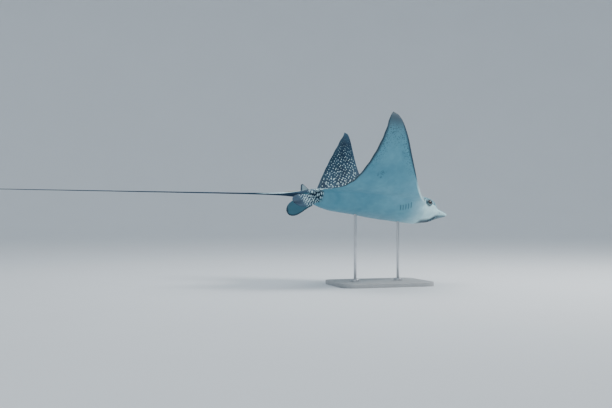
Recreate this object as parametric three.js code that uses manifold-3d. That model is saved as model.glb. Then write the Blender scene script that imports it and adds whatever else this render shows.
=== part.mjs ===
// Spotted eagle ray, life size, swimming with both wings raised, held on a display stand.
// Millimetres, +Z up. The origin is the centre of the underside of the stand's base.
// The ray heads along +X, its left side is +Y, and its tail streams back along -X.
//
// The animal is drawn in a body frame of its own: x is 0 just behind the tip of the bill and
// negative towards the tail, y is measured to its left and z above its middle plane. The disc is
// first laid out flat, as height above and below the middle plane, and each wing is then rolled
// up along its span.
import * as THREE from "three";
import { mergeVertices } from "three/addons/utils/BufferGeometryUtils.js";
import Module from "manifold-3d";

const wasm = await Module();
wasm.setup();

// ---------------------------------------------------------------- driving dimensions
const halfSpan = 750;            // tip of a wing from the midline, with the disc laid flat
const neckX = -195;              // where the head meets the trunk
const neckHalfWidth = 118;
const shoulderAhead = 15;        // how far the root of each wing reaches ahead of the neck
const billTipX = 8;
const billEndX = -72;            // where the bill meets the head
const vent = -860;               // where the trunk meets the root of the tail
const gap = 0.3;                 // clearance between pieces that touch
const noseDown = THREE.MathUtils.degToRad(6.8);
const bank = THREE.MathUtils.degToRad(12.7);   // right side up
const wingLean = 14.6;           // degrees by which the wings lean to the ray's left
// How each wing's outer part turns about its own length: how far at the tip and how soon it comes.
const wingTwist = {
  1: { atTip: THREE.MathUtils.degToRad(-38), lateness: 4 },
  [-1]: { atTip: THREE.MathUtils.degToRad(8.6), lateness: 1.5 },
};
const hingeAhead = 0.6;          // share of the leading edge in the line that a wing turns about
const wingAbove = 0.55;          // share of a wing's thickness above its middle plane
const wingSplits = [280, 510];   // spans at which each wing is divided
const edgeThickness = 1.5;       // least thickness of a wing or fin

const stand = {
  length: 560, width: 400, thickness: 24, cornerRadius: 60, edgeBevel: 3,
  rodRadius: 8, rodReach: 30, collarRadius: 26, collarHeight: 14, collarBevel: 4,
  rodAhead: 120, rodBehind: -150,
};
const snoutHeight = 430;         // height of the tip of the bill above the floor
const snoutAhead = 425;          // distance of the tip of the bill ahead of the base's centre

// ---------------------------------------------------------------- smooth functions of one number
// A monotone cubic through a few named stations, so that an outline never overshoots them.
function through(stations) {
  const sorted = [...stations].sort((a, b) => a[0] - b[0]);
  const xs = sorted.map((s) => s[0]);
  const ys = sorted.map((s) => s[1]);
  const slope = xs.slice(1).map((x, i) => (ys[i + 1] - ys[i]) / (x - xs[i]));
  const tangent = xs.map((_, i) => {
    if (i === 0) return slope[0];
    if (i === xs.length - 1) return slope[i - 1];
    if (slope[i - 1] * slope[i] <= 0) return 0;
    return 2 * slope[i - 1] * slope[i] / (slope[i - 1] + slope[i]);
  });
  return (x) => {
    const q = Math.min(Math.max(x, xs[0]), xs[xs.length - 1]);
    let i = 0;
    while (i < xs.length - 2 && q > xs[i + 1]) i += 1;
    const h = xs[i + 1] - xs[i];
    const t = (q - xs[i]) / h;
    const rise = (3 - 2 * t) * t * t;
    return ys[i] * (1 - rise) + ys[i + 1] * rise
      + h * t * (1 - t) * (tangent[i] * (1 - t) - tangent[i + 1] * t);
  };
}

// ---------------------------------------------------------------- outline of the flat disc
const leadingEdge = through([
  [neckHalfWidth, neckX + shoulderAhead], [225, -256], [375, -352], [525, -427], [637, -471],
  [700, -500], [738, -530], [halfSpan, -560],
]);
const trailingEdge = through([
  [0, vent], [60, vent], [85, -852], [120, -834], [187, -792], [300, -735],
  [412, -689], [525, -646], [637, -608], [700, -590], [738, -573], [halfSpan, -562],
]);

// ---------------------------------------------------------------- profile along the midline
const backHeight = through([
  [billTipX, -26], [0, -18], [-12, -14], [-32, -7], [-52, -1], [-70, 5], [-81, 18], [-90, 32], [-99, 42],
  [-110, 49], [-125, 54], [-150, 58], [neckX, 65], [-250, 75], [-350, 83], [-450, 79], [-600, 63],
  [-750, 42], [vent, 28],
]);
const bellyDepth = through([
  [billTipX, 28], [0, 34], [-30, 44], [-80, 64], [-130, 82], [-165, 90], [-200, 95], [-300, 93],
  [-400, 90], [-500, 85], [-600, 82], [-700, 82], [-780, 72], [-830, 58], [vent, 46],
]);
// Height of the widest part of the head: low along the bill, up to the middle plane at the neck.
const headSide = through([
  [billTipX, -27], [-30, -25], [-60, -20], [-85, -11], [-110, 0], [-145, 6], [-175, 3], [neckX, 0],
]);
// Half width of the head seen from above: a rounded bill, a waist, then the eyes and cheeks.
const headHalfWidth = through([
  [billTipX, 4], [3, 18], [-25, 40], [-57, 52], [-76, 60], [-95, 76], [-120, 91], [-150, 99], [-175, 107],
  [neckX, neckHalfWidth],
]);
// How boxy a section of the head is above its widest line, 1 being an ellipse: the brows are square.
const headFlatness = through([[billTipX, 1], [-60, 0.85], [-100, 0.64], [-160, 0.62], [neckX, 0.8]]);
// Half width of the thick trunk that swells out of the disc, and how soon it falls away.
const trunkHalfWidth = through([
  [neckX, neckHalfWidth], [-240, 142], [-330, 192], [-450, 215], [-600, 185], [-750, 125], [vent, 50],
]);
const trunkFall = through([[neckX, 0.4], [-260, 0.8], [-400, 1.35], [-700, 1.2], [vent, 0.6]]);

// ---------------------------------------------------------------- thickness of a wing
const wingThickness = (u) => {
  const v = u / halfSpan;
  return 60 * (1 - v) ** 1.3 + 6 * (1 - v ** 6) + edgeThickness;
};
// Rounded in front and thin behind, as a wing section is, from 0 in front to 0 behind.
const section = (t) => 5 * (0.2969 * Math.sqrt(t) - 0.126 * t - 0.3516 * t ** 2
  + 0.2843 * t ** 3 - 0.1036 * t ** 4);

// ---------------------------------------------------------------- how a wing is rolled up
// Slope of the wing in degrees along its span, the same on both sides before the lean. The
// trunk stays level out to the hinge.
const hingeSpan = 100;
const wingSlope = through([[0, 0], [hingeSpan, 0], [250, 21.5], [400, 60], [550, 83], [halfSpan, 112]]);
const leanShare = through([[0, 0], [hingeSpan, 0], [250, 1], [halfSpan, 1]]);
const rollStep = 2.5;

function rolledSpan(side) {
  const slopeAt = (u) => THREE.MathUtils.degToRad(wingSlope(u) + side * wingLean * leanShare(u));
  const y = [0];
  const z = [0];
  for (let u = rollStep; u <= halfSpan; u += rollStep) {
    const slope = slopeAt(u - rollStep / 2);
    y.push(y[y.length - 1] + rollStep * Math.cos(slope));
    z.push(z[z.length - 1] + rollStep * Math.sin(slope));
  }
  return (u) => {
    const at = Math.min(u / rollStep, y.length - 1.001);
    const i = Math.floor(at);
    const f = at - i;
    return {
      y: y[i] + f * (y[i + 1] - y[i]),
      z: z[i] + f * (z[i + 1] - z[i]),
      slope: slopeAt(u),
    };
  };
}
const rolled = { 1: rolledSpan(1), [-1]: rolledSpan(-1) };

// A point of the flat disc, at x, span u and height n off its middle plane, on the rolled wing.
function onWing(side, x, u, n) {
  const span = rolled[side](u);
  const outward = THREE.MathUtils.clamp((u - hingeSpan) / (halfSpan - hingeSpan), 0, 1);
  const twist = wingTwist[side].atTip * outward ** wingTwist[side].lateness;
  const hingeX = u > neckHalfWidth ? THREE.MathUtils.lerp(trailingEdge(u), leadingEdge(u), hingeAhead) : x;
  const along = (x - hingeX) * Math.cos(twist) - n * Math.sin(twist);
  const off = (x - hingeX) * Math.sin(twist) + n * Math.cos(twist);
  return new THREE.Vector3(
    hingeX + along,
    side * (span.y - Math.sin(span.slope) * off),
    span.z + Math.cos(span.slope) * off,
  );
}

// ---------------------------------------------------------------- closed solids from rings
// Rings of equally many points, joined in order, each four-sided patch split along its shorter
// diagonal. Each end is closed by a strip that joins point k to point n-k, so that flat and
// hollow ends both close well.
function loft(rings) {
  const n = rings[0].length;
  const positions = [];
  const triangle = (a, b, c) => positions.push(...a.toArray(), ...b.toArray(), ...c.toArray());
  for (let r = 0; r < rings.length - 1; r += 1) {
    for (let k = 0; k < n; k += 1) {
      const next = (k + 1) % n;
      const [a, b, c, d] = [rings[r][k], rings[r][next], rings[r + 1][next], rings[r + 1][k]];
      if (a.distanceToSquared(c) <= b.distanceToSquared(d)) {
        triangle(a, b, c);
        triangle(a, c, d);
      } else {
        triangle(a, b, d);
        triangle(b, c, d);
      }
    }
  }
  const close = (ring, flip) => {
    for (let k = 0; k < n / 2; k += 1) {
      const a = ring[k];
      const b = ring[k + 1];
      const c = ring[(n - k - 1) % n];
      const d = ring[(n - k) % n];
      if (flip) {
        triangle(a, c, b);
        triangle(a, d, c);
      } else {
        triangle(a, b, c);
        triangle(a, c, d);
      }
    }
  };
  close(rings[0], true);
  close(rings[rings.length - 1], false);
  return welded(positions);
}

const stationsBetween = (from, to, count) =>
  Array.from({ length: count + 1 }, (_, i) => from + (to - from) * i / count);

// Joins shared corners, drops triangles that have shrunk to nothing and turns the faces outward.
function welded(positions) {
  const soup = new THREE.BufferGeometry();
  soup.setAttribute("position", new THREE.Float32BufferAttribute(positions, 3));
  const joined = mergeVertices(soup, 0.01);
  const index = joined.index.array;
  const kept = [];
  for (let i = 0; i < index.length; i += 3) {
    const [a, b, c] = [index[i], index[i + 1], index[i + 2]];
    if (a !== b && b !== c && c !== a) kept.push(a, b, c);
  }
  joined.setIndex(kept);
  if (signedVolume(joined) < 0) {
    for (let i = 0; i < kept.length; i += 3) [kept[i + 1], kept[i + 2]] = [kept[i + 2], kept[i + 1]];
    joined.setIndex(kept);
  }
  return joined;
}

function signedVolume(geometry) {
  const corner = [0, 1, 2].map(() => new THREE.Vector3());
  let volume = 0;
  for (let i = 0; i < geometry.index.count; i += 3) {
    corner.forEach((v, k) => {
      v.fromBufferAttribute(geometry.attributes.position, geometry.index.getX(i + k));
    });
    volume += corner[0].dot(corner[1].clone().cross(corner[2])) / 6;
  }
  return volume;
}

function toManifold(geometry, weld = 0.001) {
  const bare = geometry.clone();
  bare.deleteAttribute("normal");
  bare.deleteAttribute("uv");
  const joined = mergeVertices(bare, weld);
  return new wasm.Manifold(new wasm.Mesh({
    numProp: 3,
    vertProperties: new Float32Array(joined.attributes.position.array),
    triVerts: new Uint32Array(joined.index.array),
  }));
}

function fromManifold(solid) {
  const mesh = solid.getMesh();
  const geometry = new THREE.BufferGeometry();
  geometry.setAttribute("position", new THREE.BufferAttribute(new Float32Array(mesh.vertProperties), 3));
  geometry.setIndex(new THREE.BufferAttribute(new Uint32Array(mesh.triVerts), 1));
  return geometry;
}

// What is left of a piece outside its neighbours: the largest body, without any stray chips,
// once corners this close together are welded.
const chipWeld = 0.02;
function cutBy(geometry, cutters) {
  const left = cutters.reduce((solid, cutter) => solid.subtract(toManifold(cutter)), toManifold(geometry));
  const bodies = toManifold(fromManifold(left), chipWeld).decompose();
  return fromManifold(bodies.sort((a, b) => b.volume() - a.volume())[0]);
}

// ---------------------------------------------------------------- head, trunk and wings
// One point of the skin at x across the flat disc. The trunk swells off it, and the wing section
// fades in from the midline to the neck's width.
function skinHeights(x, u, chordShare) {
  const across = Math.min(u / trunkHalfWidth(x), 1);
  const swell = (1 - across ** 2) ** trunkFall(x);
  const wing = wingThickness(u) * section(chordShare) * Math.min(u / neckHalfWidth, 1) ** 2;
  return {
    above: backHeight(x) * swell + wingAbove * wing,
    below: bellyDepth(x) * swell + (1 - wingAbove) * wing,
  };
}

// The rows of a column run from front to back, closest where the section turns fastest.
const rowCount = 16;
const rowCrowding = 0.65;        // 0 spaces the rows evenly, 1 crowds them most at both edges
const rowShare = Array.from({ length: rowCount + 1 }, (_, i) => {
  const even = i / rowCount;
  return THREE.MathUtils.lerp(even, (1 - Math.cos(Math.PI * even)) / 2, rowCrowding);
});

// The two faces of one column, each from front to back. Grown stands both off by a clearance.
function column(side, u, frontShift = 0, grown = 0) {
  const neckLine = neckX + shoulderAhead * (u / neckHalfWidth) ** 4 + frontShift;
  const front = u < neckHalfWidth ? neckLine : leadingEdge(u);
  const back = trailingEdge(u);
  const top = [];
  const underside = [];
  rowShare.forEach((share) => {
    const x = front + (back - front) * share;
    const rootFront = leadingEdge(neckHalfWidth);
    const inWing = Math.min(Math.max((x - rootFront) / (back - rootFront), 0), 1);
    const { above, below } = skinHeights(x, u, u < neckHalfWidth ? inWing : share);
    top.push(onWing(side, x, u, above + grown));
    underside.push(onWing(side, x, u, -below - grown));
  });
  return { top, underside };
}

const trunkColumns = 8;
const trunkSpans = Array.from({ length: trunkColumns + 1 }, (_, k) =>
  neckHalfWidth * Math.sin((Math.PI / 2) * k / trunkColumns));

function trunkGeometry(grown = 0) {
  const across = [];
  for (let k = -trunkColumns; k <= trunkColumns; k += 1) {
    const u = trunkSpans[Math.abs(k)];
    across.push(column(Math.sign(k) || 1, Math.min(u, neckHalfWidth - 0.001), -gap, grown));
  }
  const rings = rowShare.map((_, row) => [
    ...across.map((c) => c.top[row]),
    ...across.map((c) => c.underside[row]).reverse(),
  ]);
  return loft(rings);
}

// Columns crowd together towards the outer end, where the tip is rounded.
function wingGeometry(side, from, to, steps) {
  const rings = [];
  for (let k = 0; k <= steps; k += 1) {
    const u = from + (to - from) * (to < halfSpan - 1 ? k / steps : Math.sin((Math.PI / 2) * k / steps));
    const { top, underside } = column(side, u);
    rings.push([...top, ...underside.slice(1, -1).reverse()]);
  }
  return loft(rings);
}

const headSides = 4 * trunkColumns;
function headRing(x) {
  const width = headHalfWidth(x);
  return Array.from({ length: headSides }, (_, k) => {
    const angle = 2 * Math.PI * k / headSides;
    const above = Math.sin(angle) >= 0;
    const lift = Math.abs(Math.sin(angle)) ** (above ? headFlatness(x) : 1);
    const extreme = above ? backHeight(x) : -bellyDepth(x);
    return new THREE.Vector3(x, width * Math.cos(angle), THREE.MathUtils.lerp(headSide(x), extreme, lift));
  });
}

// The front of the trunk, moved ahead by the gap, is the back of the head.
function trunkNeckRing() {
  const points = [];
  for (let k = -trunkColumns; k <= trunkColumns; k += 1) {
    const u = trunkSpans[Math.abs(k)];
    points.push(column(Math.sign(k) || 1, Math.min(u, neckHalfWidth - 0.001)));
  }
  const front = [
    ...points.map((c) => c.top[0]),
    ...points.slice(1, -1).map((c) => c.underside[0]).reverse(),
  ];
  // Start at the left side and go over the top, as the head's own rings do.
  return [...front.slice(0, 2 * trunkColumns + 1).reverse(), ...front.slice(2 * trunkColumns + 1).reverse()];
}

// ---------------------------------------------------------------- tail
const tailLength = 2250;
const tailDroop = THREE.MathUtils.degToRad(5.8);   // below the line of the body
const tailYaw = THREE.MathUtils.degToRad(1.5);     // to the ray's left
const tailTurn = 100;                              // length over which it takes up both
const tailSplits = [180, 640, 1140, 1680];
const tailSides = 8;
const tailHalfWidth = through([
  [0, 50], [45, 31], [95, 18], [170, 9.5], [270, 6], [410, 4.3], [1690, 1.8], [tailLength, 1],
]);
const tailHalfHeight = through([
  [0, 37], [45, 23], [95, 15], [170, 9], [270, 6], [410, 4.3], [1690, 1.8], [tailLength, 1],
]);

const tailStep = 2.5;
const tailStartZ = -9;                             // middle of the trunk's end at the vent
const tailPath = [{ at: new THREE.Vector3(vent, 0, tailStartZ), droop: 0, yaw: 0 }];
for (let s = tailStep; s <= tailLength + tailStep; s += tailStep) {
  const share = THREE.MathUtils.smoothstep(s, 0, tailTurn);
  const droop = tailDroop * share;
  const yaw = tailYaw * share;
  const run = new THREE.Vector3(-Math.cos(droop) * Math.cos(yaw), Math.sin(yaw), -Math.sin(droop));
  tailPath.push({ at: tailPath[tailPath.length - 1].at.clone().addScaledVector(run, tailStep), droop, yaw });
}

// A point beside the tail's line, at length s, across to the left and up off it.
function onTail(s, across, up) {
  const place = Math.min(Math.max(s / tailStep, 0), tailPath.length - 1.001);
  const i = Math.floor(place);
  const { droop, yaw } = tailPath[i + 1];
  return tailPath[i].at.clone().lerp(tailPath[i + 1].at, place - i).add(new THREE.Vector3(
    Math.sin(droop) * -up + Math.sin(yaw) * across,
    across * Math.cos(yaw),
    up * Math.cos(droop),
  ));
}

function tailGeometry(from, to, steps, sides = tailSides, grown = 0) {
  const rings = stationsBetween(from, to, steps).map((s) => Array.from({ length: sides }, (_, k) => {
    const angle = 2 * Math.PI * k / sides;
    return onTail(
      s,
      (tailHalfWidth(s) + grown) * Math.cos(angle),
      (tailHalfHeight(s) + grown) * Math.sin(angle),
    );
  }));
  return loft(rings);
}

// ---------------------------------------------------------------- fins
// A flat blade: rings run outward, each from its front edge to its back edge and round again.
// place(w, t, n) puts the point w outward, t back along the chord and n off the blade's plane.
const bladeEdge = 0.04;          // share of the chord behind which an edge stops thinning
const bladeRoundness = 0.6;      // 0.5 is an ellipse, 1 a lens
function blade(place, thickness, steps, chordSteps) {
  const rings = stationsBetween(0, 1, steps).map((w) => {
    const half = thickness(w) / 2;
    const chord = stationsBetween(0, 1, chordSteps);
    const fullness = (t) =>
      Math.sin(Math.PI * THREE.MathUtils.clamp(t, bladeEdge, 1 - bladeEdge)) ** bladeRoundness;
    return [
      ...chord.map((t) => place(w, t, half * fullness(t))),
      ...chord.map((t) => place(w, t, -half * fullness(t))).reverse(),
    ];
  });
  return loft(rings);
}

const dorsal = {
  front: -28, baseLength: 84, height: 63, sweep: 62, tipLength: 18, thickness: 7, rooted: 12,
  hollowness: 0.8, topRounding: 0.12, thinning: 0.65,
};
function dorsalFinGeometry() {
  const place = (w, t, n) => {
    const lean = w ** dorsal.hollowness;
    const front = dorsal.front + dorsal.sweep * lean;
    const length = dorsal.baseLength + (dorsal.tipLength - dorsal.baseLength) * lean;
    const rounding = 1 - dorsal.topRounding * (2 * t - 1) ** 2 * w;
    return onTail(front + length * t, n, dorsal.rooted + (dorsal.height - dorsal.rooted) * w * rounding);
  };
  return blade(place, (w) => dorsal.thickness * (1 - dorsal.thinning * w), 6, 7);
}

// A pelvic fin is a rounded paddle. Its axis runs back from beside the vent, turned outward by
// splay and down by droop, and its blade is rolled down about that axis by roll.
const pelvic = {
  length: 162, rootHalfWidth: 30, halfWidth: 54, outset: 24, thickness: 11, thinning: 0.8,
  rootX: -836, rootY: 38, rootZ: -14, widestFrom: 0.65, roundedFrom: 0.6, roundness: 2.4, tipWidth: 0.04,
};
const pelvicPose = {
  1: { splay: 6, droop: 25, roll: 46 },
  [-1]: { splay: 10, droop: 17, roll: 52 },
};
function pelvicFinGeometry(side) {
  const { splay, droop, roll } = pelvicPose[side];
  const turn = new THREE.Euler(
    THREE.MathUtils.degToRad(-side * roll),
    THREE.MathUtils.degToRad(-droop),
    THREE.MathUtils.degToRad(-side * splay),
    "ZYX",
  );
  const root = new THREE.Vector3(pelvic.rootX, side * pelvic.rootY, pelvic.rootZ);
  const halfWidth = (w) => {
    const spread = THREE.MathUtils.lerp(
      pelvic.rootHalfWidth, pelvic.halfWidth, THREE.MathUtils.smoothstep(w, 0, pelvic.widestFrom),
    );
    const roundedShare = Math.max((w - pelvic.roundedFrom) / (1 - pelvic.roundedFrom), 0);
    return spread * Math.sqrt(Math.max(1 - roundedShare ** pelvic.roundness, pelvic.tipWidth ** 2));
  };
  const place = (w, t, n) => new THREE.Vector3(
    -pelvic.length * w,
    side * (halfWidth(w) * (2 * t - 1) + pelvic.outset),
    n,
  ).applyEuler(turn).add(root);
  return blade(place, (w) => pelvic.thickness * (1 - pelvic.thinning * w) + edgeThickness, 8, 7);
}

// ---------------------------------------------------------------- spines of the tail
const spine = {
  start: 58, length: 96, width: 7.5, thickness: 4, rise: 4, rooted: 1, apart: 4.6, sides: 8,
  closing: 0.3, taper: 1.7, tipBluntness: 0.8, tipWidth: 0.12, secondLength: 0.8,
};
function spineGeometry(side, lengthShare) {
  const length = spine.length * lengthShare;
  const rootLift = tailHalfHeight(spine.start) - spine.rooted;
  const tipLift = tailHalfHeight(spine.start + length) + spine.rise;
  const rings = stationsBetween(0, 1, 8).map((w) => Array.from({ length: spine.sides }, (_, k) => {
    const angle = 2 * Math.PI * k / spine.sides;
    const size = Math.max((1 - w ** spine.taper) ** spine.tipBluntness, spine.tipWidth);
    const s = spine.start + length * w;
    const lift = THREE.MathUtils.lerp(rootLift, tipLift, w);
    return onTail(
      s,
      side * spine.apart * (1 - spine.closing * w) + spine.width / 2 * size * Math.cos(angle),
      lift + spine.thickness / 2 * size * Math.sin(angle),
    );
  }));
  return loft(rings);
}

// ---------------------------------------------------------------- eyes
const eye = { radius: 19, x: -150, y: 90, z: 13 };
const eyeGeometry = (side, grown = 0) => new THREE.SphereGeometry(eye.radius + grown, 14, 10)
  .translate(eye.x, side * eye.y, eye.z);

// ---------------------------------------------------------------- stand
function standBaseGeometry() {
  const x = stand.length / 2 - stand.edgeBevel;
  const y = stand.width / 2 - stand.edgeBevel;
  const r = stand.cornerRadius - stand.edgeBevel;
  const outline = new THREE.Shape();
  outline.absarc(x - r, y - r, r, 0, Math.PI / 2);
  outline.absarc(r - x, y - r, r, Math.PI / 2, Math.PI);
  outline.absarc(r - x, r - y, r, Math.PI, 1.5 * Math.PI);
  outline.absarc(x - r, r - y, r, 1.5 * Math.PI, 2 * Math.PI);
  const geometry = new THREE.ExtrudeGeometry(outline, {
    depth: stand.thickness - 2 * stand.edgeBevel,
    bevelThickness: stand.edgeBevel,
    bevelSize: stand.edgeBevel,
    bevelSegments: 1,
    curveSegments: 6,
  });
  return geometry.translate(0, 0, stand.edgeBevel);
}

function upright(radius, bottom, top, x) {
  return new THREE.CylinderGeometry(radius, radius, top - bottom, 16)
    .rotateX(Math.PI / 2)
    .translate(x, 0, (top + bottom) / 2);
}

function collarGeometry(x) {
  const bottom = stand.thickness + gap;
  const top = bottom + stand.collarHeight;
  const profile = [
    [0, bottom], [stand.collarRadius, bottom], [stand.collarRadius, top - stand.collarBevel],
    [stand.collarRadius - stand.collarBevel, top], [0, top],
  ].map(([r, z]) => new THREE.Vector2(r, z));
  return new THREE.LatheGeometry(profile, 20).rotateX(Math.PI / 2).translate(x, 0, 0);
}

// ---------------------------------------------------------------- assembly
const slate = { color: 0x2c4356, roughness: 0.5, metalness: 0 };
const finishes = {
  slate,
  pale: { color: 0xd5dedb, roughness: 0.5, metalness: 0 },
  dark: { color: 0x161d26, roughness: 0.45, metalness: 0 },
  eye: { color: 0x0b0d10, roughness: 0.1, metalness: 0 },
  spine: { color: 0xcfc3a6, roughness: 0.5, metalness: 0 },
  base: { color: 0xa9abad, roughness: 0.4, metalness: 0 },
  steel: { color: 0xb8bcc0, roughness: 0.3, metalness: 1 },
};

const part = new THREE.Group();
const ray = new THREE.Group();
ray.rotation.set(-bank, noseDown, 0, "ZYX");
ray.position.set(snoutAhead, 0, snoutHeight);
ray.updateMatrix();
part.add(ray);

function add(group, name, geometry, finish) {
  const mesh = new THREE.Mesh(geometry, new THREE.MeshStandardMaterial(finishes[finish]));
  mesh.name = name;
  group.add(mesh);
}

// Stations inside a length, kept half a gap clear of both its ends.
const cleared = (from, to) => [from + gap / 2, to - gap / 2];

const intoRay = ray.matrix.clone().invert();
const rods = [stand.rodAhead, stand.rodBehind].map((x) => {
  const bodyX = x - snoutAhead;
  const belly = new THREE.Vector3(bodyX, 0, -bellyDepth(bodyX)).applyMatrix4(ray.matrix);
  return { x, bottom: stand.thickness + stand.collarHeight + 2 * gap, top: belly.z + stand.rodReach };
});
const sockets = rods.map(({ x, bottom, top }) =>
  upright(stand.rodRadius + gap, bottom, top + gap, x).applyMatrix4(intoRay));

const trunk = trunkGeometry();
const rootSides = 2 * tailSides;
const tailRoot = tailGeometry(gap, tailSplits[0] - gap / 2, 9, rootSides);
// The trunk and the front of the tail, a gap bigger all over: what fins and spines are cut clear of.
const pastRoot = 40;
const clearOfBody = [
  trunkGeometry(gap),
  tailGeometry(-gap, tailSplits[0] + pastRoot, 11, rootSides, gap),
];

const headStations = [
  ...stationsBetween(billEndX - gap, -100, 3),
  ...stationsBetween(-100, neckX + shoulderAhead, 4).slice(1),
];
const billStations = [7.6, 5, 0, -8, -20, -36, -54, billEndX];
const neckRing = trunkNeckRing();
const headSolid = loft([...headStations.map(headRing), neckRing]);
add(ray, "bill", loft(billStations.map(headRing)), "pale");
add(ray, "head", cutBy(headSolid, [eyeGeometry(1, gap), eyeGeometry(-1, gap)]), "slate");
add(ray, "eye_left", eyeGeometry(1), "eye");
add(ray, "eye_right", eyeGeometry(-1), "eye");
add(ray, "trunk", cutBy(trunk, sockets), "slate");

const wingLengths = [neckHalfWidth, ...wingSplits, halfSpan];
const wingNames = ["inner", "middle", "outer"];
const sides = { left: 1, right: -1 };
Object.entries(sides).forEach(([name, side]) => {
  wingNames.forEach((length, i) => {
    const [from, to] = cleared(wingLengths[i], wingLengths[i + 1]);
    add(ray, `wing_${name}_${length}`, wingGeometry(side, from, to, [6, 7, 8][i]), "slate");
  });
  add(ray, `pelvic_fin_${name}`, cutBy(pelvicFinGeometry(side), clearOfBody), "dark");
});
add(ray, "dorsal_fin", cutBy(dorsalFinGeometry(), clearOfBody), "dark");
add(ray, "tail_root", tailRoot, "dark");
const tailStops = [...tailSplits, tailLength];
tailStops.slice(1).forEach((to, i) => {
  const [from, end] = cleared(tailStops[i], to);
  add(ray, `tail_${i + 1}`, tailGeometry(from, end, 12 - 2 * i), "dark");
});
add(ray, "tail_spine_left", cutBy(spineGeometry(1, 1), clearOfBody), "spine");
add(ray, "tail_spine_right", cutBy(spineGeometry(-1, spine.secondLength), clearOfBody), "spine");

add(part, "stand_base", standBaseGeometry(), "base");
rods.forEach(({ x, bottom, top }, i) => {
  const end = ["front", "rear"][i];
  add(part, `stand_collar_${end}`, collarGeometry(x), "steel");
  add(part, `stand_rod_${end}`, upright(stand.rodRadius, bottom, top, x), "steel");
});

export default part;
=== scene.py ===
# A spotted eagle ray, life size, as a museum shows it: one bare skin over the whole animal, its eyes
# and tail spines as pieces of their own, on a flat base with two slim rods.
import math

import bmesh
import bpy
import numpy as np
from mathutils import Matrix, Vector
from mathutils.kdtree import KDTree


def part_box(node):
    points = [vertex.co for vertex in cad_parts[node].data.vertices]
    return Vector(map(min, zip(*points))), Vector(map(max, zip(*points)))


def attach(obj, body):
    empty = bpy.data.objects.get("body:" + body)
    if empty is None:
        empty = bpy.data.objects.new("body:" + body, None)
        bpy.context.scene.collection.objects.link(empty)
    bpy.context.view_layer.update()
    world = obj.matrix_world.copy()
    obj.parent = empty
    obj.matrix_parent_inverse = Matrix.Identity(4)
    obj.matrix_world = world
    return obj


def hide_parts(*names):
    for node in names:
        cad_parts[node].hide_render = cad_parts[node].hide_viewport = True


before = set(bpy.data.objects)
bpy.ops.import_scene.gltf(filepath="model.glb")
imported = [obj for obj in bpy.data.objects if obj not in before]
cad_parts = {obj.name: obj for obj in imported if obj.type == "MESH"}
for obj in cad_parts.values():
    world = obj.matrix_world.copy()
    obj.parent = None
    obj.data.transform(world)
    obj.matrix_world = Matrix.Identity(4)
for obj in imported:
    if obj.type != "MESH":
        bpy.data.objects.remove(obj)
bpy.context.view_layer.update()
bpy.ops.object.select_all(action="DESELECT")

MM = 0.001


def select_only(piece):
    bpy.ops.object.select_all(action="DESELECT")
    bpy.context.view_layer.objects.active = piece
    piece.select_set(True)


# ---------------------------------------------------------------- camera
lens_pixels = 1000.0
picture_width = 612.0
sensor_width = 36.0
camera_place = (-2.241, -5.438, 0.474)
camera_turn = 18.22

bpy.ops.object.camera_add(
    location=camera_place, rotation=(math.radians(90), 0, math.radians(-camera_turn))
)
camera = bpy.context.object
camera.name = "camera"
camera.data.sensor_width = sensor_width
camera.data.lens = sensor_width * lens_pixels / picture_width
bpy.context.scene.camera = camera

# ---------------------------------------------------------------- the ray's driving dimensions
# Metres. The ray is drawn in a body frame: x is 0 just behind the tip of the bill and negative
# towards the tail, y is measured to its left and z above its middle plane.
half_span = 0.750
neck_x = -0.195
neck_half_width = 0.118
shoulder_ahead = 0.015
bill_tip_x = 0.008
vent_x = -0.860
hinge_span = 0.100
hinge_ahead = 0.6        # where a wing's hinge line lies on its chord, 1 being the leading edge
wing_above, wing_below = 0.55, 0.45
edge_thickness = 0.0015
nose_down = math.radians(6.8)
bank = math.radians(12.7)
wing_lean = 14.6         # degrees
# How much each wing is twisted at its tip, and how late on the way there.
wing_twist = {1: (math.radians(-38), 4.0), -1: (math.radians(8.6), 1.5)}
snout_ahead = 0.425
snout_height = 0.430

eye_radius = 0.019
eye_x, eye_y, eye_z = -0.150, 0.090, 0.013
eye_outward, eye_tilt = 0.30, 0.16         # how far an eye looks ahead and up for each 1 outward

tail_length = 2.250
tail_root_half_width = 0.050
tail_start_z = -0.009
tail_droop = math.radians(5.8)
tail_yaw = math.radians(1.5)
tail_turn = 0.100

body_turn = (Matrix.Rotation(nose_down, 3, "Y") @ Matrix.Rotation(-bank, 3, "X"))
body_place = Vector((snout_ahead, 0, snout_height))


def to_part(points):
    """Points of the body frame, as an array, in the frame of the whole part."""
    return np.asarray(points) @ np.array(body_turn).T + np.array(body_place)


# ---------------------------------------------------------------- smooth functions of one number
def through(*stations):
    """A monotone cubic through a few stations given in millimetres, working in metres."""
    ordered = np.array(sorted(stations), float) * MM
    return cubic(ordered[:, 0], ordered[:, 1])


def plain(*stations):
    """The same, for stations in metres whose values aren't lengths."""
    ordered = np.array(sorted(stations), float)
    return cubic(ordered[:, 0], ordered[:, 1])


def cubic(xs, ys):
    run = np.diff(xs)
    slope = np.diff(ys) / run
    tangent = np.concatenate([slope[:1], np.zeros(len(xs) - 2), slope[-1:]])
    same_way = slope[:-1] * slope[1:] > 0
    tangent[1:-1][same_way] = (2 * slope[:-1] * slope[1:] / (slope[:-1] + slope[1:]))[same_way]

    def value(at):
        q = np.clip(at, xs[0], xs[-1])
        i = np.clip(np.searchsorted(xs, q, side="right") - 1, 0, len(xs) - 2)
        t = (q - xs[i]) / run[i]
        rise = (3 - 2 * t) * t * t
        bend = run[i] * t * (1 - t) * (tangent[i] * (1 - t) - tangent[i + 1] * t)
        return ys[i] * (1 - rise) + ys[i + 1] * rise + bend

    return value


def soft_step(value, low, high):
    t = np.clip((value - low) / (high - low), 0, 1)
    return t * t * (3 - 2 * t)


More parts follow.
